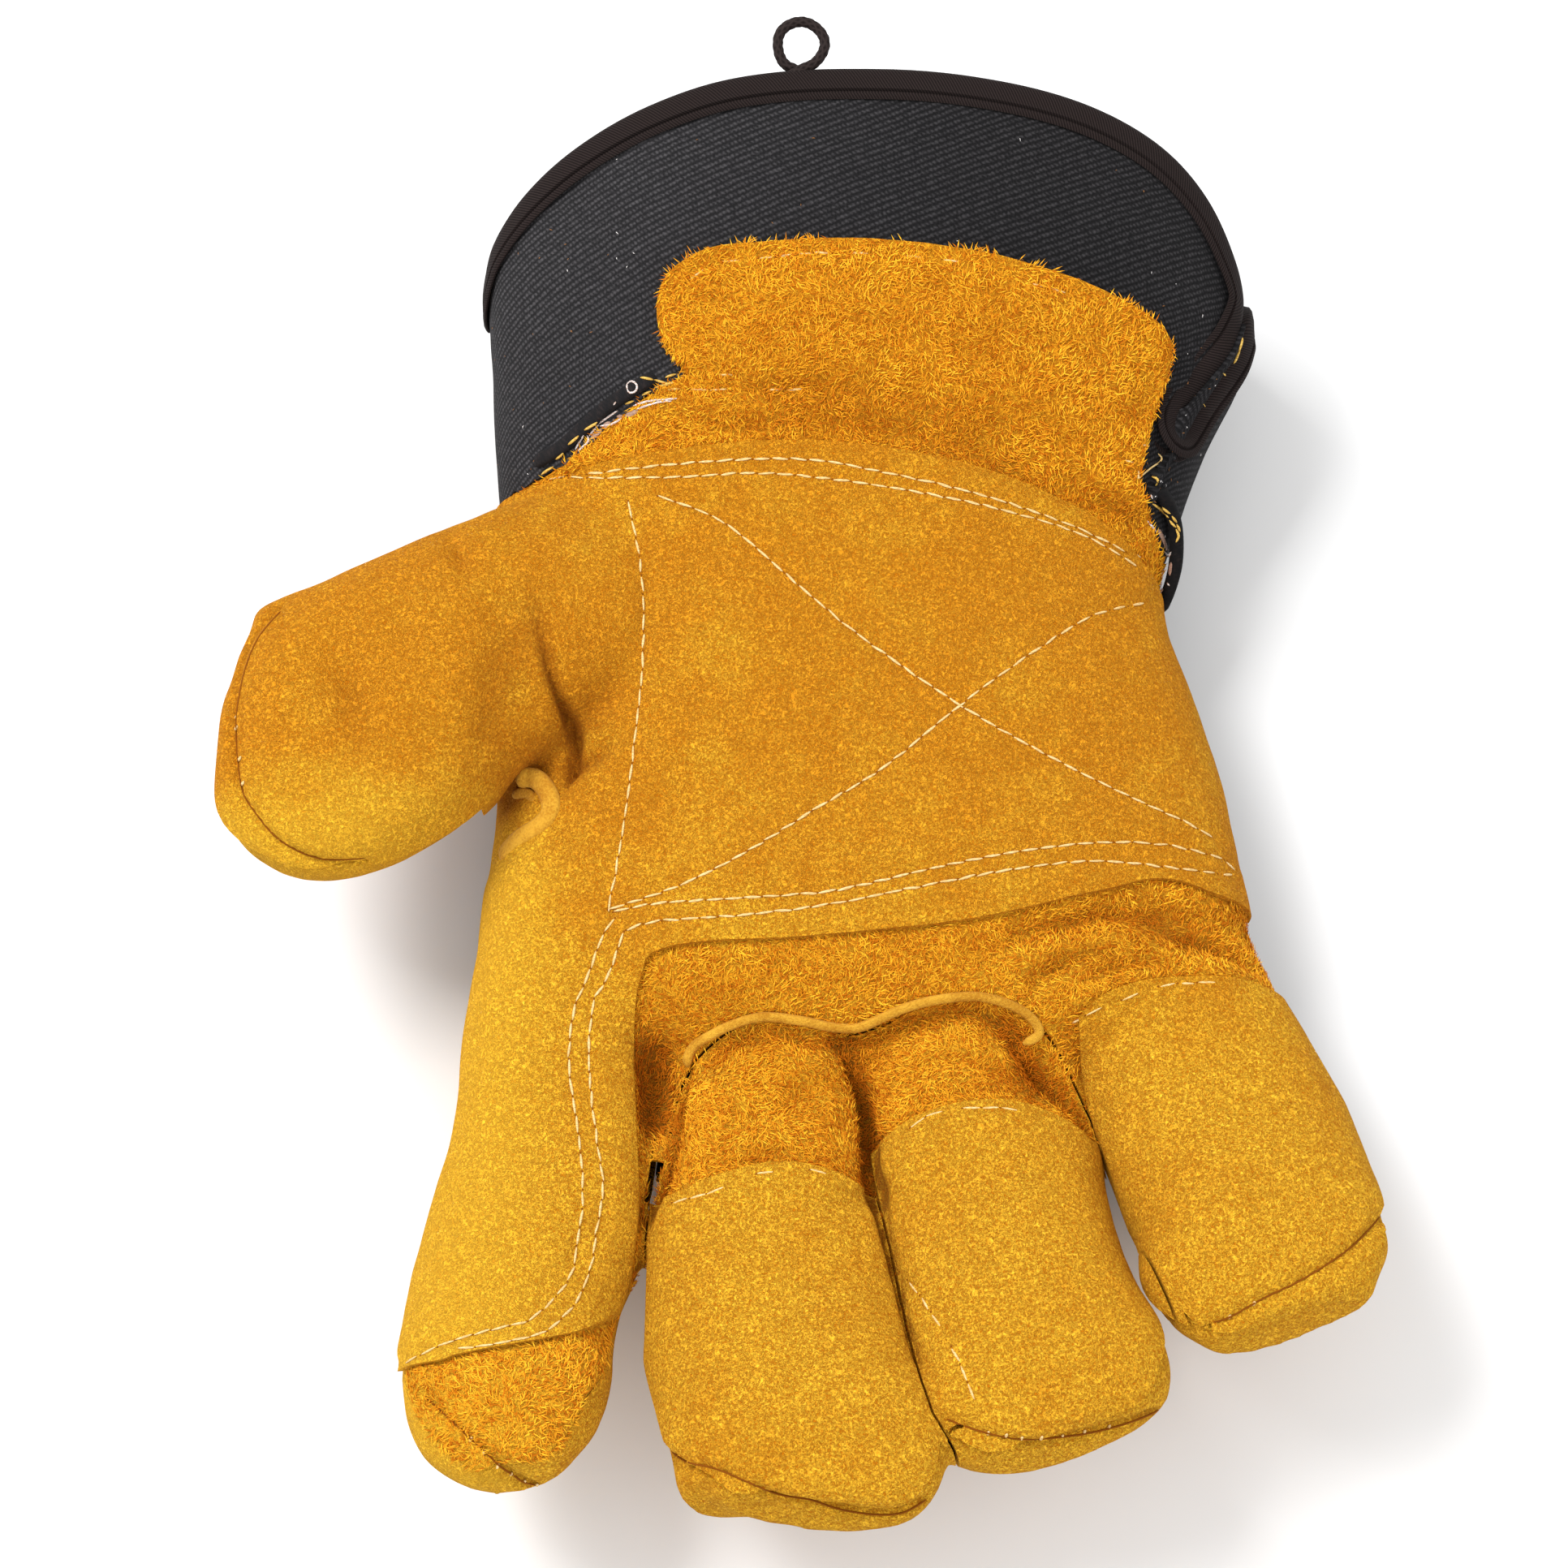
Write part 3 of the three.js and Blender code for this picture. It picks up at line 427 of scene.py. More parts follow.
def smooth_line(points, step):
    """Points about a step apart on a smooth curve through the ones given."""
    fine = np.array([smooth_row(points, p) for p in np.linspace(0, len(points) - 1, 12 * len(points))])
    run = np.concatenate([[0], np.cumsum(np.linalg.norm(np.diff(fine[:, :3], axis=0), axis=1))])
    places = np.linspace(0, run[-1], max(int(round(run[-1] / step)), 1) + 1)
    return np.stack([np.interp(places, run, column) for column in fine.T], axis=1)


def smooth_outline(points, step=2.0):
    """A closed plan outline with rounded corners."""
    return smooth_line([*points, points[0]], step)[:-1]


def trunk_row(y):
    """The tube's centre x, centre z, half width and half thickness at a height."""
    rows = np.array(TRUNK[::-1], float)
    ys = rows[:, 0]
    slopes = np.gradient(rows[:, 1:], ys, axis=0)
    i = int(np.clip(np.searchsorted(ys, y) - 1, 0, len(ys) - 2))
    gap = ys[i + 1] - ys[i]
    t = (y - ys[i]) / gap
    low, high = rows[i, 1:], rows[i + 1, 1:]
    return (
        (2 * t**3 - 3 * t**2 + 1) * low + (3 * t**2 - 2 * t**3) * high
        + gap * ((t**3 - 2 * t**2 + t) * slopes[i] + (t**3 - t**2) * slopes[i + 1])
    )


def oval(angle, power):
    """A point of a rounded section whose half sizes are 1."""
    c, s = math.cos(angle), math.sin(angle)
    return math.copysign(abs(c) ** (2 / power), c), math.copysign(abs(s) ** (2 / power), s)


def trunk_point(angle, y, out=0.0):
    """A point of the tube, moved out along its normal."""
    x, z, wide, thick = trunk_row(y)
    u, v = oval(angle, TRUNK_POWER)
    normal = Vector((
        math.copysign(abs(u) ** (TRUNK_POWER - 1), u) / wide, 0,
        math.copysign(abs(v) ** (TRUNK_POWER - 1), v) / thick,
    )).normalized()
    return Vector((x + u * wide, y, z + v * thick)) + normal * out, normal


def finger_frames(rows):
    """For each row: its place, along, sideways and upward ways, half sizes and seam height."""
    frames = []
    for i, (x, y, z, wide, thick, seam) in enumerate(rows):
        before, after = rows[max(i - 1, 0)], rows[min(i + 1, len(rows) - 1)]
        along = (Vector(after[:3]) - Vector(before[:3])).normalized()
        side = Vector((0, 0, 1)).cross(along).normalized()
        frames.append((Vector((x, y, z)), along, side, along.cross(side), wide, thick, seam))
    return frames


def ray(px, py):
    """The direction in which the camera sees a pixel of the photograph."""
    right = Vector((1, 0, 0))
    return (LOOK * FOCAL + right * (px - PHOTO / 2) - UPWARD * (py - PHOTO / 2)).normalized()


def at_height(px, py, z):
    """The point at a height that the camera sees at a pixel."""
    way = ray(px, py)
    return CAMERA_AT + way * ((z - CAMERA_AT.z) / way.z)


def seen(tree, px, py):
    """The point and normal of a surface at a pixel, or None where the ray misses it."""
    point, normal, _, _ = tree.ray_cast(CAMERA_AT, ray(px, py))
    return None if point is None else (point, normal)


def seen_line(tree, pixels, step):
    """A curve of pixels laid on a surface: points, normals and what else each pixel carries."""
    found = []
    for row in smooth_line(pixels, step / MM_PER_PIXEL):
        hit = seen(tree, row[0], row[1])
        if hit:
            found.append((hit[0], hit[1], row[2:]))
    return found


# Meshes

def loft(bm, rings, closed=False, capped=True):
    """Rings of points joined into one skin: closed on itself, capped at its ends, or open."""
    loops = []
    first = len(bm.faces)
    for ring in rings:
        made = bmesh.ops.create_circle(bm, segments=len(ring), radius=1)["verts"]
        for vert, place in zip(made, ring):
            vert.co = place
        loops.append(list({edge for vert in made for edge in vert.link_edges}))
    for near, far in zip(loops, loops[1:] + (loops[:1] if closed else [])):
        bmesh.ops.bridge_loops(bm, edges=near + far)
    if capped and not closed:
        for end in (loops[0], loops[-1]):
            bmesh.ops.edgeloop_fill(bm, edges=end)
    bm.faces.ensure_lookup_table()
    bmesh.ops.recalc_face_normals(bm, faces=bm.faces[first:])


def new_object(name, bm):
    mesh = bpy.data.meshes.new(name)
    bm.to_mesh(mesh)
    bm.free()
    obj = bpy.data.objects.new(name, mesh)
    bpy.context.scene.collection.objects.link(obj)
    return obj


def bake(obj):
    """Turns an object's modifiers into its mesh."""
    graph = bpy.context.evaluated_depsgraph_get()
    mesh = bpy.data.meshes.new_from_object(obj.evaluated_get(graph))
    old = obj.data
    obj.modifiers.clear()
    obj.data = mesh
    bpy.data.meshes.remove(old)
    return obj


def copy_of(obj, name):
    twin = bpy.data.objects.new(name, obj.data.copy())
    bpy.context.scene.collection.objects.link(twin)
    return twin


def points_of(mesh, what="co"):
    """Each vertex's place or normal, as rows of an array."""
    flat = np.empty(len(mesh.vertices) * 3, np.float32)
    mesh.vertices.foreach_get(what, flat)
    return flat.reshape(-1, 3).astype(float)


def edge_ends(mesh):
    """The first and the second vertex of each edge, as two rows of indices."""
    pairs = np.empty(len(mesh.edges) * 2, np.int32)
    mesh.edges.foreach_get("vertices", pairs)
    return pairs.reshape(-1, 2).T


def put_points(mesh, points):
    mesh.vertices.foreach_set("co", points.astype(np.float32).ravel())
    mesh.update()


def cut(obj, operation, *cutters):
    """Joins, cuts or crosses an object with others."""
    for cutter in cutters:
        modifier = obj.modifiers.new("cut", "BOOLEAN")
        modifier.operation = operation
        modifier.solver = "MANIFOLD"
        modifier.object = cutter
    return bake(obj)


def drop(*objects):
    for obj in objects:
        mesh = obj.data
        bpy.data.objects.remove(obj)
        bpy.data.meshes.remove(mesh)


def prism(outline, low=-TALL, high=TALL, name="prism"):
    bm = bmesh.new()
    loft(bm, [[Vector((x, y, z)) for x, y in outline] for z in (low, high)])
    return new_object(name, bm)


def block(x0, x1, y0, y1, z0, z1):
    return prism([(x0, y0), (x1, y0), (x1, y1), (x0, y1)], z0, z1, "block")


def band(line, width):
    """A strip of the plan on both sides of a line."""
    line = np.array(line, float)
    ways = np.gradient(line, axis=0)
    aside = np.stack([-ways[:, 1], ways[:, 0]], axis=1)
    aside *= width / 2 / np.linalg.norm(aside, axis=1, keepdims=True)
    return prism([*(line + aside), *(line - aside)[::-1]], name="band")


def joined(name, *objects):
    whole = cut(copy_of(objects[0], name), "UNION", *objects[1:])
    drop(*objects)
    return whole


def front_zone(rows):
    """The space on the palm side of a finger's seams."""
    room, above, past, least = 4, 14, 12, 12
    frames = finger_frames(rows)
    at, along, side, up, wide, thick, seam = frames[-1]
    frames.append((at + along * past, along, side, up, wide, thick, seam))
    bm = bmesh.new()
    rings = []
    for at, along, side, up, wide, thick, seam in frames:
        reach = max(wide, least) + room
        low, high = seam * thick, thick + above
        corners = ((reach, low), (reach, high), (-reach, high), (-reach, low))
        rings.append([at + side * u + up * v for u, v in corners])
    loft(bm, rings)
    return new_object("front zone", bm)


def nearest_on(points, line, values, reach):
    """For each point, the strongest pull of a line: its value times a bell of the distance to it."""
    pull = np.zeros(len(points))
    bell = 3 * reach
    for a, b, va, vb in zip(line, line[1:], values, values[1:]):
        low, high = np.minimum(a, b) - bell, np.maximum(a, b) + bell
        near = np.flatnonzero(np.all((points > low) & (points < high), axis=1))
        if len(near) == 0:
            continue
        step = b - a
        offset = points[near] - a
        share = np.clip(offset @ step / max(step @ step, 1e-9), 0, 1)
        distance = np.linalg.norm(offset - share[:, None] * step, axis=1)
        here = (va + (vb - va) * share) * np.exp(-((distance / reach) ** 2))
        pull[near] = np.maximum(pull[near], here)
    return pull


def inside(points, outline):
    """Which plan points lie inside an outline, and how far each is from its edge."""
    x, y = points[:, 0], points[:, 1]
    within = np.zeros(len(points), bool)
    edge = np.full(len(points), 1e9)
    for (x0, y0), (x1, y1) in zip(outline, np.roll(outline, -1, axis=0)):
        if y0 != y1:
            crosses = ((y0 > y) != (y1 > y)) & (x < (x1 - x0) * (y - y0) / (y1 - y0) + x0)
            within ^= crosses
        step = np.array([x1 - x0, y1 - y0])
        offset = points[:, :2] - (x0, y0)
        share = np.clip(offset @ step / max(step @ step, 1e-9), 0, 1)
        edge = np.minimum(edge, np.linalg.norm(offset - share[:, None] * step, axis=1))
    return within, edge


def step_up(values):
    t = np.clip(values, 0, 1)
    return t * t * (3 - 2 * t)


def rough(points, size, seed):
    """Smooth noise from about -1 to 1 at points, with lumps of a size in millimetres."""
    shift = Vector((17.3 * seed, 5.1 * seed, 9.7 * seed))
    return np.array([noise.noise(Vector(p) / size + shift) for p in points])


# The form of the glove

class Form:
    """The smooth outer form of the leather and the back, and its layers at other distances."""

    # The rings' heights and how many points a ring has
    TRUNK_RINGS = (*np.linspace(118, -42, 40), -45, -48, -50)
    TRUNK_SIDES = 72
    FINGER_SIDES = 40
    RINGS_PER_ROW = 4
    EVEN_PASSES = 8
    NORMAL_PASSES = 4
    FOLD_STEP = 1.5
    SEAM_STEP = 1.0
    # How high the leather rises at random, and how far apart its rises are
    BROAD_RISES = (0.55, 17)
    FINE_RISES = (0.22, 6.5)
    TAB_LIFT = 2.1
    TAB_FADE = 7.0
    # How much painted shade a hollow and a steep side put into the leather's colour, and how level a face
    # must be to get none
    HOLLOW_SHARE = 0.9
    HOLLOW_PASSES = 70
    SIDE_SHARE = 2.8
    SIDE_FROM = 0.65

    def __init__(self, fineness):
        bm = bmesh.new()
        angles = [math.tau * j / self.TRUNK_SIDES for j in range(self.TRUNK_SIDES)]
        loft(bm, [[trunk_point(a, y)[0] for a in angles] for y in self.TRUNK_RINGS])
        for rows in (*FINGERS, THUMB):
            self.add_finger(bm, rows)
        body = new_object("form", bm)
        modifier = body.modifiers.new("remesh", "REMESH")
        modifier.mode = "VOXEL"
        modifier.voxel_size = fineness
        bake(body)
        bm = bmesh.new()
        bm.from_mesh(body.data)
        for _ in range(self.EVEN_PASSES):
            bmesh.ops.smooth_vert(
                bm, verts=bm.verts, factor=0.5, use_axis_x=True, use_axis_y=True, use_axis_z=True)
        self.tree = BVHTree.FromBMesh(bm)
        bm.to_mesh(body.data)
        bm.free()
        self.body = body
        self.points = points_of(body.data)
        self.normals = self.smooth_normals(body.data)
        self.dent = self.dents()
        self.lift = self.tab_lift()
        # Painted shade: hollows and steep sides add to the crease amount, kept as the crease attribute,
        # which darkens the leather's colour and its nap there
        self.crease += self.HOLLOW_SHARE * self.hollows(body.data)
        self.crease += self.SIDE_SHARE * np.clip(self.SIDE_FROM - self.normals[:, 2], 0, self.SIDE_FROM)
        crease = body.data.attributes.new("crease", "FLOAT", "POINT")
        crease.data.foreach_set("value", self.crease.astype(np.float32))

    def add_finger(self, bm, rows):
        angles = [math.tau * j / self.FINGER_SIDES for j in range(self.FINGER_SIDES)]
        rings = []
        for place in np.linspace(0, len(rows) - 1, self.RINGS_PER_ROW * len(rows)):
            row = smooth_row(rows, place)
            before = smooth_row(rows, max(place - 0.3, 0))
            after = smooth_row(rows, min(place + 0.3, len(rows) - 1))
            along = Vector(after[:3] - before[:3]).normalized()
            side = Vector((0, 0, 1)).cross(along).normalized()
            up = along.cross(side)
            spots = [oval(a, FINGER_POWER) for a in angles]
            rings.append([Vector(row[:3]) + side * u * row[3] + up * v * row[4] for u, v in spots])
        loft(bm, rings)

    def smooth_normals(self, mesh):
        """Vertex normals averaged with their neighbours', so layers keep apart in tight valleys."""
        normals = points_of(mesh, "normal")
        a, b = edge_ends(mesh)
        for _ in range(self.NORMAL_PASSES):
            total = normals.copy()
            np.add.at(total, a, normals[b])
            np.add.at(total, b, normals[a])
            normals = total / np.linalg.norm(total, axis=1, keepdims=True)
        return normals

    def hollows(self, mesh):
        """How deep each point lies below a far smoother copy of the form, as between two fingers."""
        a, b = edge_ends(mesh)
        count = len(self.points)
        degree = np.bincount(a, minlength=count) + np.bincount(b, minlength=count)
        columns = list(self.points.T)
        for _ in range(self.HOLLOW_PASSES):
            columns = [
                (np.bincount(a, column[b], count) + np.bincount(b, column[a], count)) / degree
                for column in columns]
        depth = ((np.stack(columns, axis=1) - self.points) * self.normals).sum(axis=1)
        return np.clip(depth, 0, None)

    def line_on(self, pixels, step=FOLD_STEP):
        found = seen_line(self.tree, pixels, step)
        return np.array([point for point, _, _ in found]), [extra for _, _, extra in found]

    def dents(self):
        """How far each point is pushed in by folds, seams and rows of stitches."""
        depth = np.zeros(len(self.points))
        for width, pixels in FOLDS.values():
            line, extra = self.line_on(pixels)
            depth += nearest_on(self.points, line, [value[0] for value in extra], width)
        for pixels in TIP_SEAMS.values():
            line, _ = self.line_on(pixels, self.SEAM_STEP)
            values = [TIP_SEAM_DEPTH] * len(line)
            depth += nearest_on(self.points, line, values, TIP_SEAM_WIDTH)
        for pixels in STITCH_ROWS.values():
            line, _ = self.line_on(pixels)
            depth += nearest_on(self.points, line, [STITCHED_DEPTH] * len(line), STITCHED_WIDTH)
        # The dents' depth starts the crease amount: painted shade in folds, seams and rows of stitches
        self.crease = depth.copy()
        return depth - sum(
            high * rough(self.points, apart, seed)
            for seed, (high, apart) in enumerate((self.BROAD_RISES, self.FINE_RISES), 1))

    def tab_lift(self):
        """The palm leather climbs over the cuff's seam to lie on the cuff as the tab."""
        within, edge = inside(self.points, smooth_outline(TAB))
        share = np.where(within, 1.0, step_up(1 - edge / self.TAB_FADE))
        return self.TAB_LIFT * share * (self.points[:, 2] > SIDE_SEAM_Z)

    def layer(self, name, out):
        """A closed skin at a distance outside the form's face."""
        skin = copy_of(self.body, name)
        away = out - self.dent + self.lift
        points = self.points + self.normals * away[:, None]
        points[:, 2] = np.maximum(points[:, 2], -out if out < 0 else 0.0)
        put_points(skin.data, points)
        return skin

    def wall(self, name, outer, inner):
        """What lies between two layers of the form."""
        inside_skin = self.layer("inner", inner)
        whole = cut(self.layer(name, outer), "DIFFERENCE", inside_skin)
        drop(inside_skin)
        return whole


def metres(obj):
    """Turns a piece that was modelled in millimetres to metres."""
    obj.data.transform(Matrix.Scale(MM, 4))
    obj.data.update()


def settle(obj, slot, material, node=None, sharp=35):
    """Finishes a piece: its size, shading, material, and the CAD node that it stands for."""
    metres(obj)
    obj.data.polygons.foreach_set("use_smooth", [True] * len(obj.data.polygons))
    obj.data.set_sharp_from_angle(angle=math.radians(sharp))
    obj.data.materials.clear()
    obj.data.materials.append(material)
    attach(obj, "root")
    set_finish(obj, slot)
    if node:
        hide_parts(node)


def sized(length):
    """A size in metres as millimetres."""
    return length / MM


# Leather, cuff and trims

class Plans:
    """The cutters that the leather and cloth pieces share."""

    def __init__(self):
        thumb = prism([*THUMB_SEAM, (-PLAN_SIDE, -30), (-PLAN_SIDE, 70)], name="thumb plan")
        palm_block = cut(block(-TALL, TALL, KNUCKLE_Y, TALL, SIDE_SEAM_Z, TALL), "DIFFERENCE", thumb)
        self.thumb = thumb
        self.palm_side = joined("palm side", palm_block, *(front_zone(rows) for rows in (*FINGERS, THUMB)))
        self.palm_side_low = copy_of(self.palm_side, "palm side and slit")
        self.palm_side_low.data.transform(Matrix.Translation((0, 0, -SEAM_SLIT)))
        seam = [tuple(p) for p in smooth_line(SEAM_FRONT[1:-1], 2)]
        seam = [SEAM_FRONT[0], *seam, SEAM_FRONT[-1]]
        self.seam = np.array(seam)
        below = prism([*seam, (PLAN_SIDE, -TALL), (-PLAN_SIDE, -TALL)], name="below seam")
        self.tab = prism(smooth_outline(TAB), name="tab")
        self.below_seam_or_tab = cut(below, "UNION", self.tab)
        self.below_back_seam = block(-TALL, TALL, -TALL, SEAM_BACK_Y, -TALL, TALL)
        self.slots = joined("slots", *(
            band(line, SLOT) for line in (INDEX_MIDDLE_GAP, MIDDLE_RING_GAP, RING_LITTLE_GAP)))
        self.slit = band(FINGER_SLIT, FINGER_SLIT_WIDTH)
        self.welt_slot = band(smooth_line(FINGER_SEAM, 2), SLOT)
        self.before_middle = self.left_of(INDEX_MIDDLE_GAP)
        self.before_ring = self.left_of(MIDDLE_RING_GAP)
        self.before_little = self.left_of(RING_LITTLE_GAP)
        below_welt = prism([
            *smooth_line(FINGER_SEAM, 2), (PLAN_SIDE, KNUCKLE_Y), (PLAN_SIDE, -TALL), (-PLAN_SIDE, -TALL),
            (-PLAN_SIDE, KNUCKLE_Y)], name="below welt")
        self.low_slots = cut(copy_of(self.slots, "low slots"), "INTERSECT", below_welt)
        self.two_fronts = cut(below_welt, "INTERSECT", self.before_little)
        cut(self.two_fronts, "DIFFERENCE", self.before_middle)
        self.index_back = cut(
            block(-TALL, TALL, -TALL, INDEX_BACK_Y, -TALL, TALL), "INTERSECT", self.before_middle)
        self.finger_back = block(-TALL, TALL, -TALL, FINGER_BACK_Y, -TALL, TALL)
        self.little_area = cut(
            block(0, TALL, -TALL, GAP_TOP_Y, -TALL, TALL), "DIFFERENCE", self.before_little)

    @staticmethod
    def left_of(line):
        return prism([*line, (-PLAN_SIDE, PLAN_END), (-PLAN_SIDE, GAP_TOP_Y)], name="left")

    def area(self, finger):
        """One finger's own area of the plan, clear of its neighbours."""
        if finger == "middle":
            area = cut(copy_of(self.before_ring, "middle area"), "DIFFERENCE", self.before_middle)
        elif finger == "ring":
            area = cut(copy_of(self.before_little, "ring area"), "DIFFERENCE", self.before_ring)
        else:
            area = copy_of(self.little_area, "little area")
        return cut(area, "DIFFERENCE", self.slots)

    def clear(self):
        drop(*(thing for thing in vars(self).values() if isinstance(thing, bpy.types.Object)))


def tip_plan(edge):
    line = smooth_line(edge, 2)
    return prism([*line, (line[-1][0], -TALL), (line[0][0], -TALL)], name="tip plan")


# What the operators share: the materials, the form, the wrist seam, the rim and the leather's surface
shop = {}


class GLOVE_OT_leather(bpy.types.Operator):
    """Cuts the leather pieces and the cloth back from the glove's form"""

    bl_idname = "glove.leather"
    bl_label = "Leather and back"

    def execute(self, context):
        sizes = context.scene.glove
        leather, overlay = sized(sizes.leather), sized(sizes.overlay)
        form = Form(sized(sizes.fineness))
        plans = Plans()
        shop["form"] = form
        rough_suede = shop["rough_suede"]
        suede = shop["suede"]

        base = cut(form.wall("base", 0, -leather), "DIFFERENCE", plans.slit)
        front = cut(copy_of(base, "front"), "INTERSECT", plans.palm_side, plans.below_seam_or_tab)
        back = cut(base, "DIFFERENCE", plans.palm_side_low)
        back = cut(back, "INTERSECT", plans.below_back_seam)

        palm = copy_of(front, "palm_leather_suede")
        cut(palm, "DIFFERENCE", plans.two_fronts, plans.welt_slot, plans.low_slots)
        settle(palm, "rough_suede", rough_suede, "palm_leather")
        fronts = cut(front, "INTERSECT", plans.two_fronts)
        fronts.name = "finger_fronts_suede"
        cut(fronts, "DIFFERENCE", plans.welt_slot)
        settle(fronts, "rough_suede", rough_suede, "finger_fronts")

        over = cut(form.wall("over", OVERLAY_GAP + overlay, OVERLAY_GAP), "INTERSECT", plans.palm_side)
        patch_plan = prism(smooth_outline(PATCH_EDGE, step=1.5), name="patch plan")
        patch = cut(copy_of(over, "palm_patch_suede"), "INTERSECT", patch_plan)
        settle(patch, "suede", suede, "palm_patch")
        drop(patch_plan)
        for finger, edge in (
            ("middle", MIDDLE_TIP_EDGE), ("ring", RING_TIP_EDGE), ("little", LITTLE_TIP_EDGE),
        ):
            area, plan = plans.area(finger), tip_plan(edge)
            tip = cut(copy_of(over, f"{finger}_tip_patch_suede"), "INTERSECT", area, plan)
            settle(tip, "suede", suede, f"{finger}_tip_patch")
            tip_back = cut(copy_of(back, f"{finger}_back_suede"), "INTERSECT", area, plans.finger_back)
            settle(tip_back, "suede", suede, f"{finger}_back")
            drop(area, plan)
        drop(over)

        thumb_back = cut(copy_of(back, "thumb_back_suede"), "INTERSECT", plans.thumb)
        settle(thumb_back, "suede", suede, "thumb_back")
        index_back = copy_of(back, "index_back_suede")
        cut(index_back, "DIFFERENCE", plans.slots)
        cut(index_back, "INTERSECT", plans.index_back)
        settle(index_back, "suede", suede, "index_back")
        panel = cut(back, "DIFFERENCE", plans.thumb, plans.index_back, plans.finger_back)
        panel.name = "back_panel_twill"
        lay_cloth_flat(panel)
        settle(panel, "denim", shop["denim"], "back_panel")
        shop["seam"] = plans.seam
        plans.clear()
        drop(form.body)
        return {"FINISHED"}


def lay_cloth_flat(obj):
    """UVs in millimetres that run across the back and on up the sides."""
    mesh = obj.data
    layer = mesh.uv_layers.new(name="UVMap")
    corners = np.empty(len(mesh.loops), np.int32)
    mesh.loops.foreach_get("vertex_index", corners)
    x, y, z = points_of(mesh)[corners].T
    layer.data.foreach_set("uv", np.stack([x + np.sign(x) * z, y], axis=1).astype(np.float32).ravel())


class GLOVE_OT_cuff(bpy.types.Operator):
    """Makes the flared denim cuff with its slit, from the wrist seam to the rim"""

    bl_idname = "glove.cuff"
    bl_label = "Cuff"

    ROWS = 36
    PER_ROW = 8
    FINE_ROWS = 80
    SEAM_GAP = 0.4
    # Height and size of the cloth's waves and ripples, and the rows over which they fade at both ends
    WAVES = 0.7
    WAVE_SIZE = 21
    RIPPLES = 0.35
    RIPPLE_SIZE = 8
    FADE_ROWS = 8

    def stations(self):
        """Smooth stations round the cuff, from the middle of the back: rim angle, rim y, wrist angle."""
        start = RIM.index((-90, 123, -90))
        turned = [tuple(np.add(row, (360, 0, 360))) for row in RIM[start:]] + list(RIM[:start])
        whole = [*turned, tuple(np.add(turned[0], (-360, 0, -360)))]
        places = np.linspace(0, len(turned), self.PER_ROW * len(turned) + 1)[:-1]
        return [smooth_row(whole, place) for place in places]

    def column(self, station, seam):
        """Points up one line of the cuff, with the normal at each."""
        begin = 0.0
        for share in np.linspace(0, 1, self.FINE_ROWS):
            point, _ = self.spot(station, share)
            level = np.interp(point.x, seam[:, 0], seam[:, 1]) if point.z > SIDE_SEAM_Z else SEAM_BACK_Y
            if point.y > level + self.SEAM_GAP:
                break
            begin = share
        return [self.spot(station, share) for share in np.linspace(begin, 1, self.ROWS)]

    @staticmethod
    def spot(station, share):
        rim, rim_y, wrist = station
        angle = math.radians(wrist + (rim - wrist) * share)
        return trunk_point(angle, WRIST_Y + (rim_y - WRIST_Y) * share)

    def execute(self, context):
        sizes = context.scene.glove
        seam = shop["seam"]
        columns = [self.column(station, seam) for station in self.stations()]
        for column in columns:
            for i, (point, normal) in enumerate(column):
                rise = self.WAVES * noise.noise(point / self.WAVE_SIZE)
                rise += self.RIPPLES * noise.noise(point / self.RIPPLE_SIZE)
                blend = min(i / self.FADE_ROWS, (self.ROWS - 1 - i) / self.FADE_ROWS, 1)
                moved = point + normal * rise * max(blend, 0)
                moved.z = max(moved.z, 0)
                column[i] = (moved, normal)
        shop["rim"] = [column[-1] for column in columns]
        bm = bmesh.new()
        loft(bm, [[column[i][0] for column in columns] for i in range(self.ROWS)], capped=False)
        self.lay_cloth(bm, columns)
        cuff = new_object("cuff_twill", bm)
        thick = cuff.modifiers.new("thickness", "SOLIDIFY")
        thick.thickness = sized(sizes.denim)
        thick.offset = -1
        bake(cuff)
        settle(cuff, "denim", shop["denim"], "cuff", sharp=50)
        return {"FINISHED"}

    def lay_cloth(self, bm, columns):
        """UVs in millimetres: round the cuff at its middle, and along the glove."""
        place = {}
        mid = self.ROWS // 2
        round_by = 0.0
        for c, column in enumerate(columns):
            if c:
                round_by += (column[mid][0] - columns[c - 1][mid][0]).length
            for r, (point, _) in enumerate(column):
                place[r * len(columns) + c] = (round_by, point.y)
        whole = round_by + (columns[0][mid][0] - columns[-1][mid][0]).length
        layer = bm.loops.layers.uv.new("UVMap")
        bm.verts.index_update()
        for face in bm.faces:
            us = [place[loop.vert.index][0] for loop in face.loops]
            wraps = max(us) - min(us) > whole / 2
            for loop in face.loops:
                u, v = place[loop.vert.index]
                if wraps and u < whole / 2:
                    u += whole
                loop[layer].uv = (u, v)


def rim_frames(rim):
    """At each rim point: its place, the way out of the cloth and the way from the edge into it."""
    frames = []
    for i, (point, out) in enumerate(rim):
        along = (rim[(i + 1) % len(rim)][0] - rim[i - 1][0]).normalized()
        inward = along.cross(out).normalized()
        frames.append((point, out, inward))
    return frames


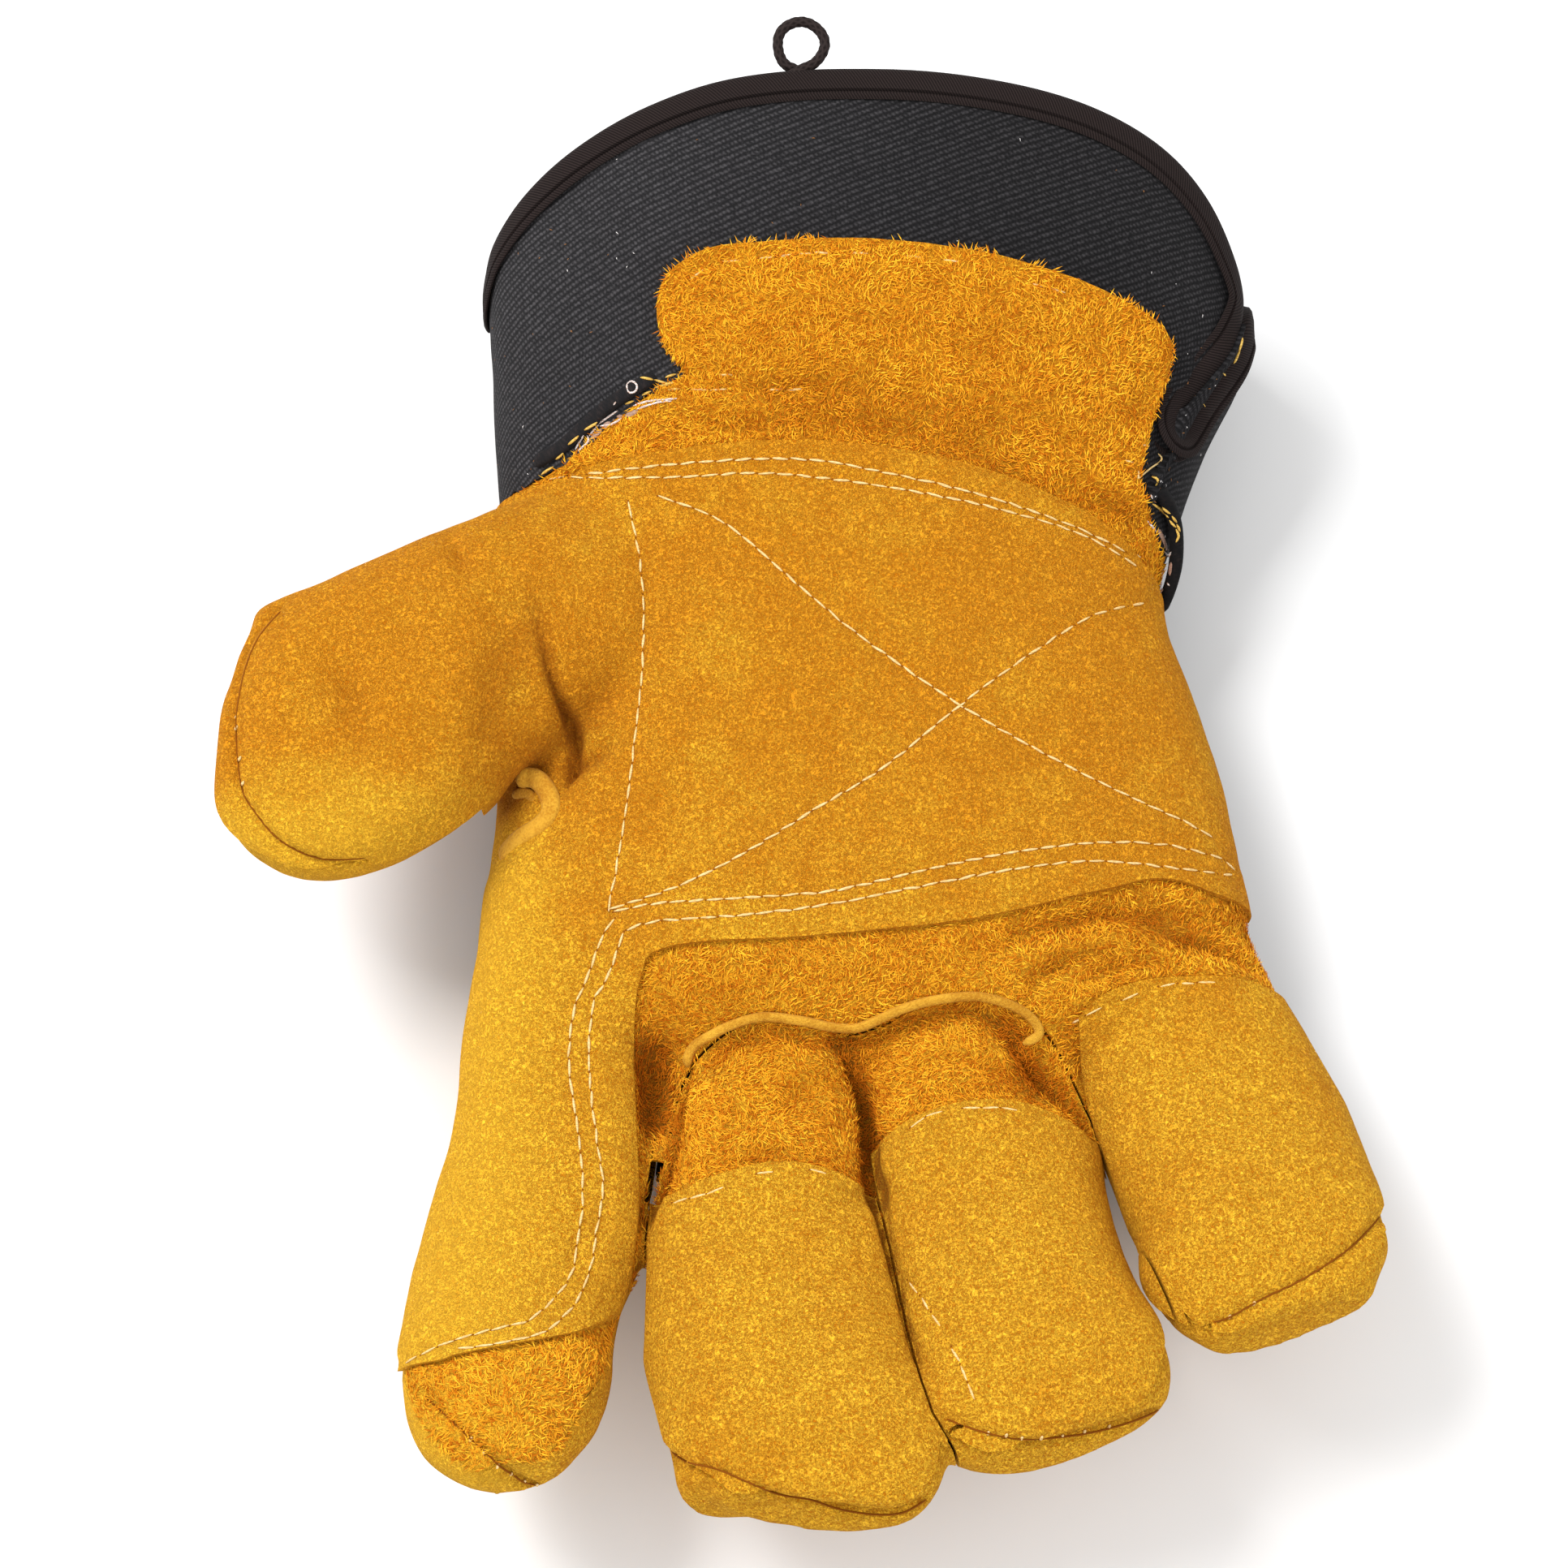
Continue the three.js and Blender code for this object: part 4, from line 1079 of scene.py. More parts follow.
class GLOVE_OT_binding(bpy.types.Operator):
    """Folds the black tape over the cuff's rim"""

    bl_idname = "glove.binding"
    bl_label = "Rim tape"

    GAP = 0.1
    # The stitched groove: how far from the tape's edge, its half widths at the top and floor, its depth
    GROOVE_IN = 1.5
    GROOVE_WIDE = 0.4
    GROOVE_NARROW = 0.12
    GROOVE_DEPTH = 0.5

    def execute(self, context):
        sizes = context.scene.glove
        denim, width, thick = sized(sizes.denim), sized(sizes.tape_width), sized(sizes.tape)
        gap, groove = self.GAP, width - self.GROOVE_IN
        wide, narrow = self.GROOVE_WIDE, self.GROOVE_NARROW
        top, under = gap + thick, -denim - gap - thick
        floor = top - self.GROOVE_DEPTH
        # Points of the section: how far out of the cloth, and how far in from the rim
        section = [
            (gap, width), (gap + thick * 0.45, width + 0.1), (top, width - 0.35),
            (top + 0.05, groove + wide), (floor, groove + narrow), (floor, groove - narrow),
            (top + 0.1, groove - wide), (top + 0.2, 1.6), (top - 0.05, 0.1), (top * 0.4, -thick * 0.8),
            (-denim / 2, -thick - 0.1), (under + top * 0.6, -thick * 0.8), (under + 0.05, 0.1),
            (under - 0.1, 1.2), (under, width - 0.35), (-denim - gap - thick * 0.45, width + 0.1),
            (-denim - gap, width), (-denim - gap, 0.1), (-denim / 2, -0.12), (gap, 0.1),
        ]
        rings = []
        for point, out, inward in rim_frames(shop["rim"]):
            rings.append([point + out * n + inward * b for n, b in section])
        bm = bmesh.new()
        loft(bm, rings, closed=True)
        lay_along(bm, rings)
        tape = new_object("cuff_binding_tape", bm)
        settle(tape, "tape", shop["tape"], "cuff_binding", sharp=60)
        return {"FINISHED"}


def lay_along(bm, rings):
    """UVs in millimetres on a swept skin: along its run, and round its section."""
    count = len(rings[0])
    run = [0.0]
    for near, far in zip(rings, rings[1:]):
        run.append(run[-1] + (far[0] - near[0]).length)
    ring = rings[0]
    girth = [0.0]
    for near, far in zip(ring, ring[1:]):
        girth.append(girth[-1] + (far - near).length)
    end_run = run[-1] + (rings[0][0] - rings[-1][0]).length
    end_girth = girth[-1] + (ring[0] - ring[-1]).length
    layer = bm.loops.layers.uv.new("UVMap")
    bm.verts.index_update()
    for face in bm.faces:
        spots = [divmod(loop.vert.index, count) for loop in face.loops]
        if any(i >= len(rings) for i, _ in spots):
            continue
        last_ring = {i for i, _ in spots} == {0, len(rings) - 1}
        last_side = {j for _, j in spots} == {0, count - 1}
        for loop, (i, j) in zip(face.loops, spots):
            u = end_run if last_ring and i == 0 else run[i]
            v = end_girth if last_side and j == 0 else girth[j]
            loop[layer].uv = (u, v)


class GLOVE_OT_loop(bpy.types.Operator):
    """Makes the small cord ring that the glove hangs on"""

    bl_idname = "glove.loop"
    bl_label = "Hanging loop"

    TILT = math.radians(15)
    SUNK = 0.9
    WIDE = 4.25
    TALL = 4.35
    SWELL = 0.04
    FIRST_ANGLE = 255
    LAST_ANGLE = -75
    ANGLE_STEP = 15
    # The ends that spread under the tape: x, up the loop, and out of its face
    FIRST_END = [(3.6, -7.6, -1.2), (2.2, -6.0, -0.9), (0.6, -5.0, -0.5)]
    LAST_END = [(-0.6, -5.0, 0.7), (-2.2, -6.0, 0.3), (-3.6, -7.6, -0.4)]
    PER_ROW = 5
    SIDES = 16
    STRANDS = 5
    STRAND_RISE = 0.05

    def execute(self, context):
        low, high = (Vector(corner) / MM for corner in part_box("hanging_loop"))
        tilt = self.TILT
        cord = sized(context.scene.glove.cord) / 2
        axis = Vector((0, math.cos(tilt), math.sin(tilt)))
        centre = (low + high) / 2 - axis * self.SUNK
        face = Vector((0, -math.sin(tilt), math.cos(tilt)))
        path = list(self.FIRST_END)
        for degrees in range(self.FIRST_ANGLE, self.LAST_ANGLE - 1, -self.ANGLE_STEP):
            turn = math.radians(degrees)
            wide = self.WIDE * (1 + self.SWELL * math.sin(turn * 3 + 1))
            rise = 0.5 - degrees / self.FIRST_ANGLE
            path.append((wide * math.cos(turn), self.TALL * math.sin(turn), rise))
        path += self.LAST_END
        last = len(path) - 1
        places = [smooth_row(path, place) for place in np.linspace(0, last, self.PER_ROW * len(path))]
        spots = [centre + Vector((x, 0, 0)) + axis * y + face * z for x, y, z in places]
        rings = []
        for i, spot in enumerate(spots):
            along = (spots[min(i + 1, len(spots) - 1)] - spots[max(i - 1, 0)]).normalized()
            side = along.cross(face).normalized()
            ring = []
            for a in (math.tau * j / self.SIDES for j in range(self.SIDES)):
                radius = cord + self.STRAND_RISE * math.cos(self.STRANDS * a + i)
                ring.append(spot + (side * math.cos(a) + face * math.sin(a)) * radius)
            rings.append(ring)
        bm = bmesh.new()
        loft(bm, rings)
        lay_along(bm, rings)
        settle(new_object("hanging_loop_cord", bm), "cord", shop["cord"], "hanging_loop", sharp=60)
        return {"FINISHED"}


def strip(bm, line, half_width, height, sink=0.25, sides=12):
    """A rounded strip along points with normals, thin at its ends, sunk into what carries it."""
    thinnest = 0.35
    rings = []
    for i, (point, normal) in enumerate(line):
        along = (line[min(i + 1, len(line) - 1)][0] - line[max(i - 1, 0)][0]).normalized()
        side = along.cross(normal).normalized()
        taper = min(1, thinnest + min(i, len(line) - 1 - i) / 2)
        ring = []
        for j in range(sides):
            u, v = oval(math.tau * j / sides, STRIP_POWER)
            rise = (v * 0.5 + 0.5) * height * taper - sink
            ring.append(point + side * u * half_width * taper + normal * rise)
        rings.append(ring)
    loft(bm, rings)
    return rings


def smooth_normals_of(line, reach=4):
    """The same line with each normal averaged over its neighbours'."""
    evened = []
    for i, (point, _) in enumerate(line):
        near = line[max(i - reach, 0):i + reach + 1]
        evened.append((point, sum((normal for _, normal in near), Vector()).normalized()))
    return evened


class GLOVE_OT_trims(bpy.types.Operator):
    """Lays the welts at the finger seam and the thumb's root, and the rolled seams at the wrist"""

    bl_idname = "glove.trims"
    bl_label = "Welts and rolled seams"

    STEP = 0.7
    PIXEL_STEP = 5.0
    # Each welt's strips: their path, half width and height
    WELTS = {
        "finger_welt": [(FINGER_WELT, 0.85, 1.6)],
        "thumb_welt": [(THUMB_WELT, 1.85, 2.4), (THUMB_FLAP, 1.0, 1.5)],
    }
    # Each rolled seam's half width, height and how far it is sunk
    LEFT_SIZE = (1.3, 1.7, 0.3)
    RIGHT_SIZE = (1.9, 2.6, 1.2)

    def execute(self, context):
        tree = shop["form"].tree
        for name, strips in self.WELTS.items():
            bm = bmesh.new()
            for pixels, half, high in strips:
                found = [(point, normal) for point, normal, _ in seen_line(tree, pixels, self.STEP)]
                strip(bm, smooth_normals_of(found), half, high)
            welt = new_object(f"{name}_strip", bm)
            settle(welt, "welt_strip", shop["welt_strip"], name, sharp=50)
        left, right = [], []
        for x, y in smooth_line(ROLL_LEFT, self.STEP):
            point, normal, _, _ = tree.ray_cast(Vector((x, y, TALL)), Vector((0, 0, -1)))
            left.append((point, normal))
        for px, py, z in smooth_line(ROLL_RIGHT, self.PIXEL_STEP):
            point = at_height(px, py, z)
            centre_x, centre_z, _, _ = trunk_row(point.y)
            right.append((point, Vector((point.x - centre_x, 0, point.z - centre_z)).normalized()))
        for name, line, size in (
            ("seam_roll_left", left, self.LEFT_SIZE), ("seam_roll_right", right, self.RIGHT_SIZE),
        ):
            bm = bmesh.new()
            lay_along(bm, strip(bm, smooth_normals_of(line), *size))
            roll = new_object(f"{name}_twill", bm)
            settle(roll, "denim", shop["rolled_denim"], name, sharp=50)
        return {"FINISHED"}


class GLOVE_OT_stitches(bpy.types.Operator):
    """Sews the rows of stitches onto the finished pieces"""

    bl_idname = "glove.stitches"
    bl_label = "Stitches"

    HIDDEN = 0.4
    TURN = 0.12
    LENGTHS = (0.9, 1.08)
    WIDTHS = (0.85, 1.1)
    HEIGHT = 0.8
    # How far a stitch's middle stands out, as a share of the thread
    PROUD = 0.2
    BURIED = -0.1
    HOLE = (0.42, 0.38, 0.1)
    HOLE_OUT = 0.02
    # A stitch in a tip seam: its way in pixels, its size and how far it stands out
    TIP_WAY = (3, -6)
    TIP_BIT = (1.0, 0.55, 0.5)
    TIP_OUT = 0.15

    def execute(self, context):
        sizes = context.scene.glove
        pitch, length, thread = sized(sizes.pitch), sized(sizes.stitch), sized(sizes.thread)
        tree = whole_tree(("rough_suede", "suede"))
        shop["leather_tree"] = tree
        draw = random.Random(4)
        stitches, holes = Scatter(), Scatter()
        for name, pixels in STITCH_ROWS.items():
            line = seen_line(tree, pixels, pitch)
            buried = name in BURIED_ROWS
            for (start, _, _), (end, _, _) in zip(line, line[1:]):
                along = end - start
                if along.length > 2 * pitch or (buried and draw.random() < self.HIDDEN):
                    continue
                spot, normal, _, _ = tree.find_nearest((start + end) / 2)
                across = normal.cross(along).normalized()
                along = along.normalized() + across * draw.uniform(-self.TURN, self.TURN)
                long, wide = draw.uniform(*self.LENGTHS), draw.uniform(*self.WIDTHS)
                size = (length * long, thread * wide, thread * self.HEIGHT)
                out = thread * (self.BURIED if buried else self.PROUD)
                stitches.add(spot + normal * out, along, normal, size, draw.random())
                # Painted shade: a flat dark bead at each needle hole stands in for the shade inside it
                holes.add(start + normal * self.HOLE_OUT, along, normal, self.HOLE, 0)
        for px, py in TIP_BITS:
            found = seen_line(tree, [(px, py), (px + self.TIP_WAY[0], py + self.TIP_WAY[1])], 1.0)
            if len(found) > 1:
                spot, normal, _ = found[0]
                way = found[-1][0] - spot
                stitches.add(spot + normal * self.TIP_OUT, way, normal, self.TIP_BIT, 1)
        shape = bead_shape()
        settle(stitches.laid("palm_stitches", shape), "suede", shop["thread"], sharp=80)
        settle(holes.laid("needle_holes", shape), "suede", shop["hole"], sharp=80)
        drop(shape)
        return {"FINISHED"}


class Scatter:
    """Many small copies of one shape: where each lies, how it is turned and how big it is."""

    def __init__(self):
        self.rows = []

    def add(self, place, along, up, size, tint):
        self.rows.append((*place, *along, *up, *size, tint))

    def laid(self, name, shape):
        """One mesh with all the copies."""
        rows = np.array(self.rows, dtype=np.float32)
        cloud = bpy.data.meshes.new(name)
        cloud.vertices.add(len(rows))
        cloud.vertices.foreach_set("co", rows[:, :3].ravel())
        for label, columns in (("along", rows[:, 3:6]), ("up", rows[:, 6:9]), ("size", rows[:, 9:12])):
            data = cloud.attributes.new(label, "FLOAT_VECTOR", "POINT").data
            data.foreach_set("vector", columns.ravel())
        cloud.attributes.new("tint", "FLOAT", "POINT").data.foreach_set("value", rows[:, 12].ravel())
        obj = bpy.data.objects.new(name, cloud)
        bpy.context.scene.collection.objects.link(obj)
        laying = obj.modifiers.new("copies", "NODES")
        laying.node_group = self.tree(shape)
        bake(obj)
        for label in ("along", "up", "size"):
            held = obj.data.attributes.get(label)
            if held:
                obj.data.attributes.remove(held)
        return obj

    @staticmethod
    def tree(shape):
        tree = bpy.data.node_groups.new("copies", "GeometryNodeTree")
        for way in ("INPUT", "OUTPUT"):
            tree.interface.new_socket("Geometry", in_out=way, socket_type="NodeSocketGeometry")
        net = Net(tree)

        def kept(label):
            settings = {"data_type": "FLOAT_VECTOR"}
            return net.node("GeometryNodeInputNamedAttribute", settings, Name=label)["Attribute"]

        align = "FunctionNodeAlignRotationToVector"
        turn = net.node(align, {"axis": "X"}, Vector=kept("along"))["Rotation"]
        turn = net.node(
            align, {"axis": "Z", "pivot_axis": "X"}, Rotation=turn, Vector=kept("up"))["Rotation"]
        spots = net.node("NodeGroupInput")["Geometry"]
        thing = net.node("GeometryNodeObjectInfo", None, Object=shape)["Geometry"]
        laid = net.node("GeometryNodeInstanceOnPoints", None, Points=spots, Instance=thing,
                        Rotation=turn, Scale=kept("size"))["Instances"]
        real = net.node("GeometryNodeRealizeInstances", None, Geometry=laid)["Geometry"]
        net.node("NodeGroupOutput", None, Geometry=real)
        return tree


def bead_shape():
    """A rounded body, one unit long, wide and high."""
    bm = bmesh.new()
    bmesh.ops.create_uvsphere(bm, u_segments=6, v_segments=6, radius=0.5, matrix=ON_SIDE)
    return new_object("bead", bm)


def fibre_shape():
    """A bent spindle of six faces, one unit long, from its root at the origin."""
    middle, bend = 0.45, 0.7
    bm = bmesh.new()
    for matrix in (ON_SIDE, Matrix.Scale(-1, 4, (1, 0, 0)) @ ON_SIDE):
        bmesh.ops.create_cone(bm, segments=3, radius1=0.5, radius2=0, depth=0.6, matrix=matrix)
    for vert in bm.verts:
        if abs(vert.co.y) + abs(vert.co.z) < 0.01:
            vert.co = (1, 0, 0) if vert.co.x > 0 else (0, 0, 0)
        else:
            vert.co.x = middle
            vert.co.z += bend
    bmesh.ops.remove_doubles(bm, verts=bm.verts, dist=0.01)
    bmesh.ops.recalc_face_normals(bm, faces=bm.faces)
    return new_object("fibre", bm)


class GLOVE_OT_threads(bpy.types.Operator):
    """Lays the seam lines at the fingertips and the coloured threads at the wrist"""

    bl_idname = "glove.threads"
    bl_label = "Seam lines and loose threads"

    STEP = 0.4
    SUNK = 0.08
    SIDES = 8
    SEAM_LINE = (0.17, 0.24)

    def execute(self, context):
        thread = sized(context.scene.glove.thread)
        tree = whole_tree(("rough_suede", "suede", "denim", "tape", "welt_strip"))
        for name, lines, finish, slot, wide, high in (
            ("tip_seams", TIP_SEAMS.values(), "seam_line", "suede", *self.SEAM_LINE),
            ("yellow_threads", YELLOW_THREADS, "yellow_thread", "denim", thread * 0.5, thread * 0.9),
            ("white_threads", WHITE_THREADS, "white_thread", "denim", thread * 0.4, thread * 0.8),
            ("pink_threads", PINK_THREADS, "pink_thread", "denim", thread * 1.0, thread * 0.5),
            ("cream_threads", CREAM_THREADS, "thread", "denim", thread * 0.35, thread * 0.7),
        ):
            bm = bmesh.new()
            for pixels in lines:
                found = [(spot, normal) for spot, normal, _ in seen_line(tree, pixels, self.STEP)]
                if len(found) > 1:
                    strip(bm, smooth_normals_of(found, 2), wide, high, self.SUNK, self.SIDES)
            settle(new_object(name, bm), slot, shop[finish], sharp=60)
        return {"FINISHED"}


class GLOVE_OT_lint(bpy.types.Operator):
    """Drops specks of orange and pale lint on the black cloth"""

    bl_idname = "glove.lint"
    bl_label = "Lint"

    COUNT = 380
    LENGTHS = (0.3, 0.95)
    SECTION = (0.16, 0.14)
    SUNK = 0.03

    def execute(self, context):
        shape = fibre_shape()
        draw = random.Random(8)
        cuff = bpy.data.objects["cuff_twill"].data
        made = Scatter()
        for _ in range(self.COUNT):
            face = cuff.polygons[draw.randrange(len(cuff.polygons))]
            spot, normal = face.center / MM, Vector(face.normal)
            side = normal.orthogonal().normalized()
            turn = draw.uniform(0, math.tau)
            along = side * math.cos(turn) + normal.cross(side) * math.sin(turn)
            size = (draw.uniform(*self.LENGTHS), *self.SECTION)
            made.add(spot - normal * self.SUNK, along, normal, size, draw.random())
        settle(made.laid("cuff_lint", shape), "denim", shop["lint"], sharp=80)
        drop(shape)
        return {"FINISHED"}


class GLOVE_OT_nap(bpy.types.Operator):
    """Lays the rough leather's fibres over the parts that nothing covers"""

    bl_idname = "glove.nap"
    bl_label = "Leather nap"

    # How much denser the nap is on each piece than on the palm
    PIECES = {"palm_leather_suede": 1.0, "finger_fronts_suede": 1.4}
    CLEAR = 2.2
    ABOVE = 0.15
    LEAST_FACING = 0.3
    SUNK = 0.12
    WIDTH = 0.24
    HEIGHT = 0.8
    LEANS = (0.05, 0.55)
    GROWTHS = (0.6, 1.25)
    # How the fibres turn together, in radians over so many millimetres, and how far each strays
    SWIRL = 5.0
    SWIRL_SIZE = 11
    STRAY = 1.3
    # How much painted shade darkens the fibres in folds, hollows and on steep sides: from which depth, over
    # which, and by how much
    SHADE_FROM = 0.7
    SHADE_SPAN = 2.6
    DARKEST = 0.85
    MOSTLY_DARK = 1.2
    PATCHES = 0.5
    PATCH_SIZE = 6

    def execute(self, context):
        sizes = context.scene.glove
        shape = fibre_shape()
        draw = np.random.default_rng(11)
        for name, many in self.PIECES.items():
            nap = self.fibres(bpy.data.objects[name], draw, many * sizes.nap_density, sized(sizes.nap))
            laid = nap.laid(name.replace("suede", "nap"), shape)
            settle(laid, "rough_suede", shop["rough_fibre"], sharp=80)
        drop(shape)
        return {"FINISHED"}

    def fibres(self, piece, draw, density, length):
        """Fibres over a piece's outer face, which turn together and each stray a little."""
        mesh = piece.data
        mesh.calc_loop_triangles()
        count = len(mesh.loop_triangles)
        corners = np.empty(count * 3, np.int32)
        mesh.loop_triangles.foreach_get("vertices", corners)
        areas = np.empty(count, np.float32)
        mesh.loop_triangles.foreach_get("area", areas)
        areas = areas / MM ** 2
        points = points_of(mesh) / MM
        chosen = np.repeat(np.arange(count), draw.poisson(areas * density))
        a, b, c = points[corners.reshape(-1, 3)[chosen]].transpose(1, 0, 2)
        one, two = np.sqrt(draw.random(len(chosen))), draw.random(len(chosen))
        spots = a * (1 - one)[:, None] + b * (one * (1 - two))[:, None] + c * (one * two)[:, None]
        facing = np.cross(b - a, c - a)
        facing /= np.linalg.norm(facing, axis=1, keepdims=True) + 1e-12
        crease = np.empty(len(mesh.vertices), np.float32)
        mesh.attributes["crease"].data.foreach_get("value", crease)
        # Painted shade: fibres in folds, hollows and on steep sides get a darker tint from the crease
        # attribute
        crease_shade = crease[corners.reshape(-1, 3)[chosen]].mean(axis=1)
        brightness = 1 - self.DARKEST * step_up((crease_shade - self.SHADE_FROM) / self.SHADE_SPAN)
        form, leather = shop["form"].tree, shop["leather_tree"]
        made = Scatter()
        for spot, normal, turn, lean, grow, tint in zip(
            spots, facing, draw.uniform(-self.STRAY, self.STRAY, len(spots)),
            draw.uniform(*self.LEANS, len(spots)), draw.uniform(*self.GROWTHS, len(spots)),
            draw.random(len(spots)) ** self.MOSTLY_DARK * brightness,
        ):
            spot, normal = Vector(spot), Vector(normal)
            if form.find_nearest(spot)[1].dot(normal) < self.LEAST_FACING:
                continue
            if leather.ray_cast(spot + normal * self.ABOVE, normal, self.CLEAR)[0]:
                continue
            side = normal.cross(Vector((0, 1, 0))).normalized()
            turn += self.SWIRL * noise.noise(spot / self.SWIRL_SIZE)
            flat = side * math.cos(turn) + normal.cross(side) * math.sin(turn)
            along = flat * math.cos(lean) + normal * math.sin(lean)
            tint *= 1 + self.PATCHES * noise.noise(spot / self.PATCH_SIZE)
            size = (length * grow, self.WIDTH, self.WIDTH * self.HEIGHT)
            made.add(spot - normal * self.SUNK, along, normal, size, tint)
        return made


def whole_tree(slots):
    """The surfaces of the finished pieces of some slots, in millimetres."""
    bm = bmesh.new()
    for obj in bpy.context.scene.collection.all_objects:
        if obj.type == "MESH" and obj.get("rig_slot") in slots:
            bm.from_mesh(obj.data)
    bmesh.ops.scale(bm, vec=(1 / MM,) * 3, verts=bm.verts)
    tree = BVHTree.FromBMesh(bm)
    bm.free()
    return tree


# Materials

class Sock:
    """An output of a node that takes part in sums: each operator adds a Math node."""

    def __init__(self, tree, socket):
        self.tree = tree
        self.socket = socket

    def sum(self, operation, *values):
        node = self.tree.nodes.new("ShaderNodeMath")
        node.operation = operation
        for slot, value in zip(node.inputs, values):
            join(self.tree, slot, value)
        return Sock(self.tree, node.outputs[0])

    def __add__(self, other):
        return self.sum("ADD", self, other)

    def __sub__(self, other):
        return self.sum("SUBTRACT", self, other)

    def __rsub__(self, other):
        return self.sum("SUBTRACT", other, self)

    def __mul__(self, other):
        return self.sum("MULTIPLY", self, other)

    def __gt__(self, other):
        return self.sum("GREATER_THAN", self, other)

    __radd__ = __add__
    __rmul__ = __mul__

    def sine(self):
        return self.sum("SINE", self)

    def unsigned(self):
        return self.sum("ABSOLUTE", self)

    def larger(self, other):
        return self.sum("MAXIMUM", self, other)


def join(tree, slot, value):
    """Feeds an input from a sum, or sets it to a number or colour."""
    if isinstance(value, Sock):
        tree.links.new(value.socket, slot)
    else:
        slot.default_value = value


class Net:
    """A node tree that takes one node a call."""

    def __init__(self, tree):
        self.tree = tree

    def node(self, kind, settings=None, **sockets):
        """Adds a node, sets it, feeds its inputs and gives back its outputs by name."""
        node = self.tree.nodes.new(kind)
        for name, value in (settings or {}).items():
            setattr(node, name, value)
        for name, value in sockets.items():
            join(self.tree, self.input(node, name.replace("_", " ")), value)
        return {out.name: Sock(self.tree, out) for out in node.outputs if out.enabled}

    @staticmethod
    def input(node, name):
        return next(slot for slot in node.inputs if slot.enabled and slot.name == name)


class Finish(Net):
    """One material: its Principled shader and the nodes that feed it."""

    def __init__(self, name, **uniform):
        self.material = bpy.data.materials.new(name)
        self.material.use_nodes = True
        super().__init__(self.material.node_tree)
        self.shader = self.tree.nodes["Principled BSDF"]
        for socket, value in uniform.items():
            self.shader.inputs[socket.replace("_", " ")].default_value = value
        where = self.node("ShaderNodeTexCoord")
        self.object_mm = self.scaled(where["Object"], 1 / MM)
        self.uv = where["UV"]

    def scaled(self, vector, factor):
        node = self.tree.nodes.new("ShaderNodeVectorMath")
        node.operation = "SCALE"
        join(self.tree, node.inputs[0], vector)
        node.inputs["Scale"].default_value = factor
        return Sock(self.tree, node.outputs[0])

    def noise(self, vector, scale, detail=2.0, roughness=0.5, distortion=0.0):
        return self.node("ShaderNodeTexNoise", None, Vector=vector, Scale=scale, Detail=detail,
                         Roughness=roughness, Distortion=distortion)["Fac"]

    def placed(self, vector, angle, stretch=(1, 1, 1)):
        return self.node("ShaderNodeMapping", {"vector_type": "POINT"}, Vector=vector,
                         Rotation=(0, 0, angle), Scale=stretch)["Vector"]

    def mix(self, factor, low, high):
        """A colour between two, by the numbers of the node's colour sockets."""
        node = self.tree.nodes.new("ShaderNodeMix")
        node.data_type = "RGBA"
        for slot, value in ((node.inputs[0], factor), (node.inputs[6], low), (node.inputs[7], high)):
            join(self.tree, slot, value)
        return Sock(self.tree, node.outputs[2])

    def parts(self, vector):
        made = self.node("ShaderNodeSeparateXYZ", None, Vector=vector)
        return made["X"], made["Y"], made["Z"]

    def ramp(self, factor, low, high):
        """0 to 1 as a factor goes from low to high."""
        made = self.node("ShaderNodeMapRange", {"interpolation_type": "SMOOTHSTEP"}, Value=factor,
                         From_Min=low, From_Max=high)
        return made["Result"]

    def bump(self, height, distance, strength=1.0):
        return self.node(
            "ShaderNodeBump", None, Height=height, Distance=distance, Strength=strength)["Normal"]

    def feed(self, **sockets):
        for name, value in sockets.items():
            join(self.tree, self.shader.inputs[name.replace("_", " ")], value)
        return self.material


def full(color):
    return (*color, 1.0)


# The suede's fibres: the scales of their three sets, how far each is turned, and how each weakens
FIBRE_SCALES = (0.85, 1.25, 1.8)
FIBRE_TURN = 1.1
FIBRE_FADE = 0.12
COARSE_FIBRES = 0.85
FINE_FIBRES = 1.3

# The way of the twill's cords, and the pitches in millimetres of cords, yarns, ribs and strands
TWILL_WAY = math.radians(112)
CORD_PITCH = 1.15
YARN_PITCH = 0.8
RIB_PITCH = 0.55
STRAND_PITCH = 1.1


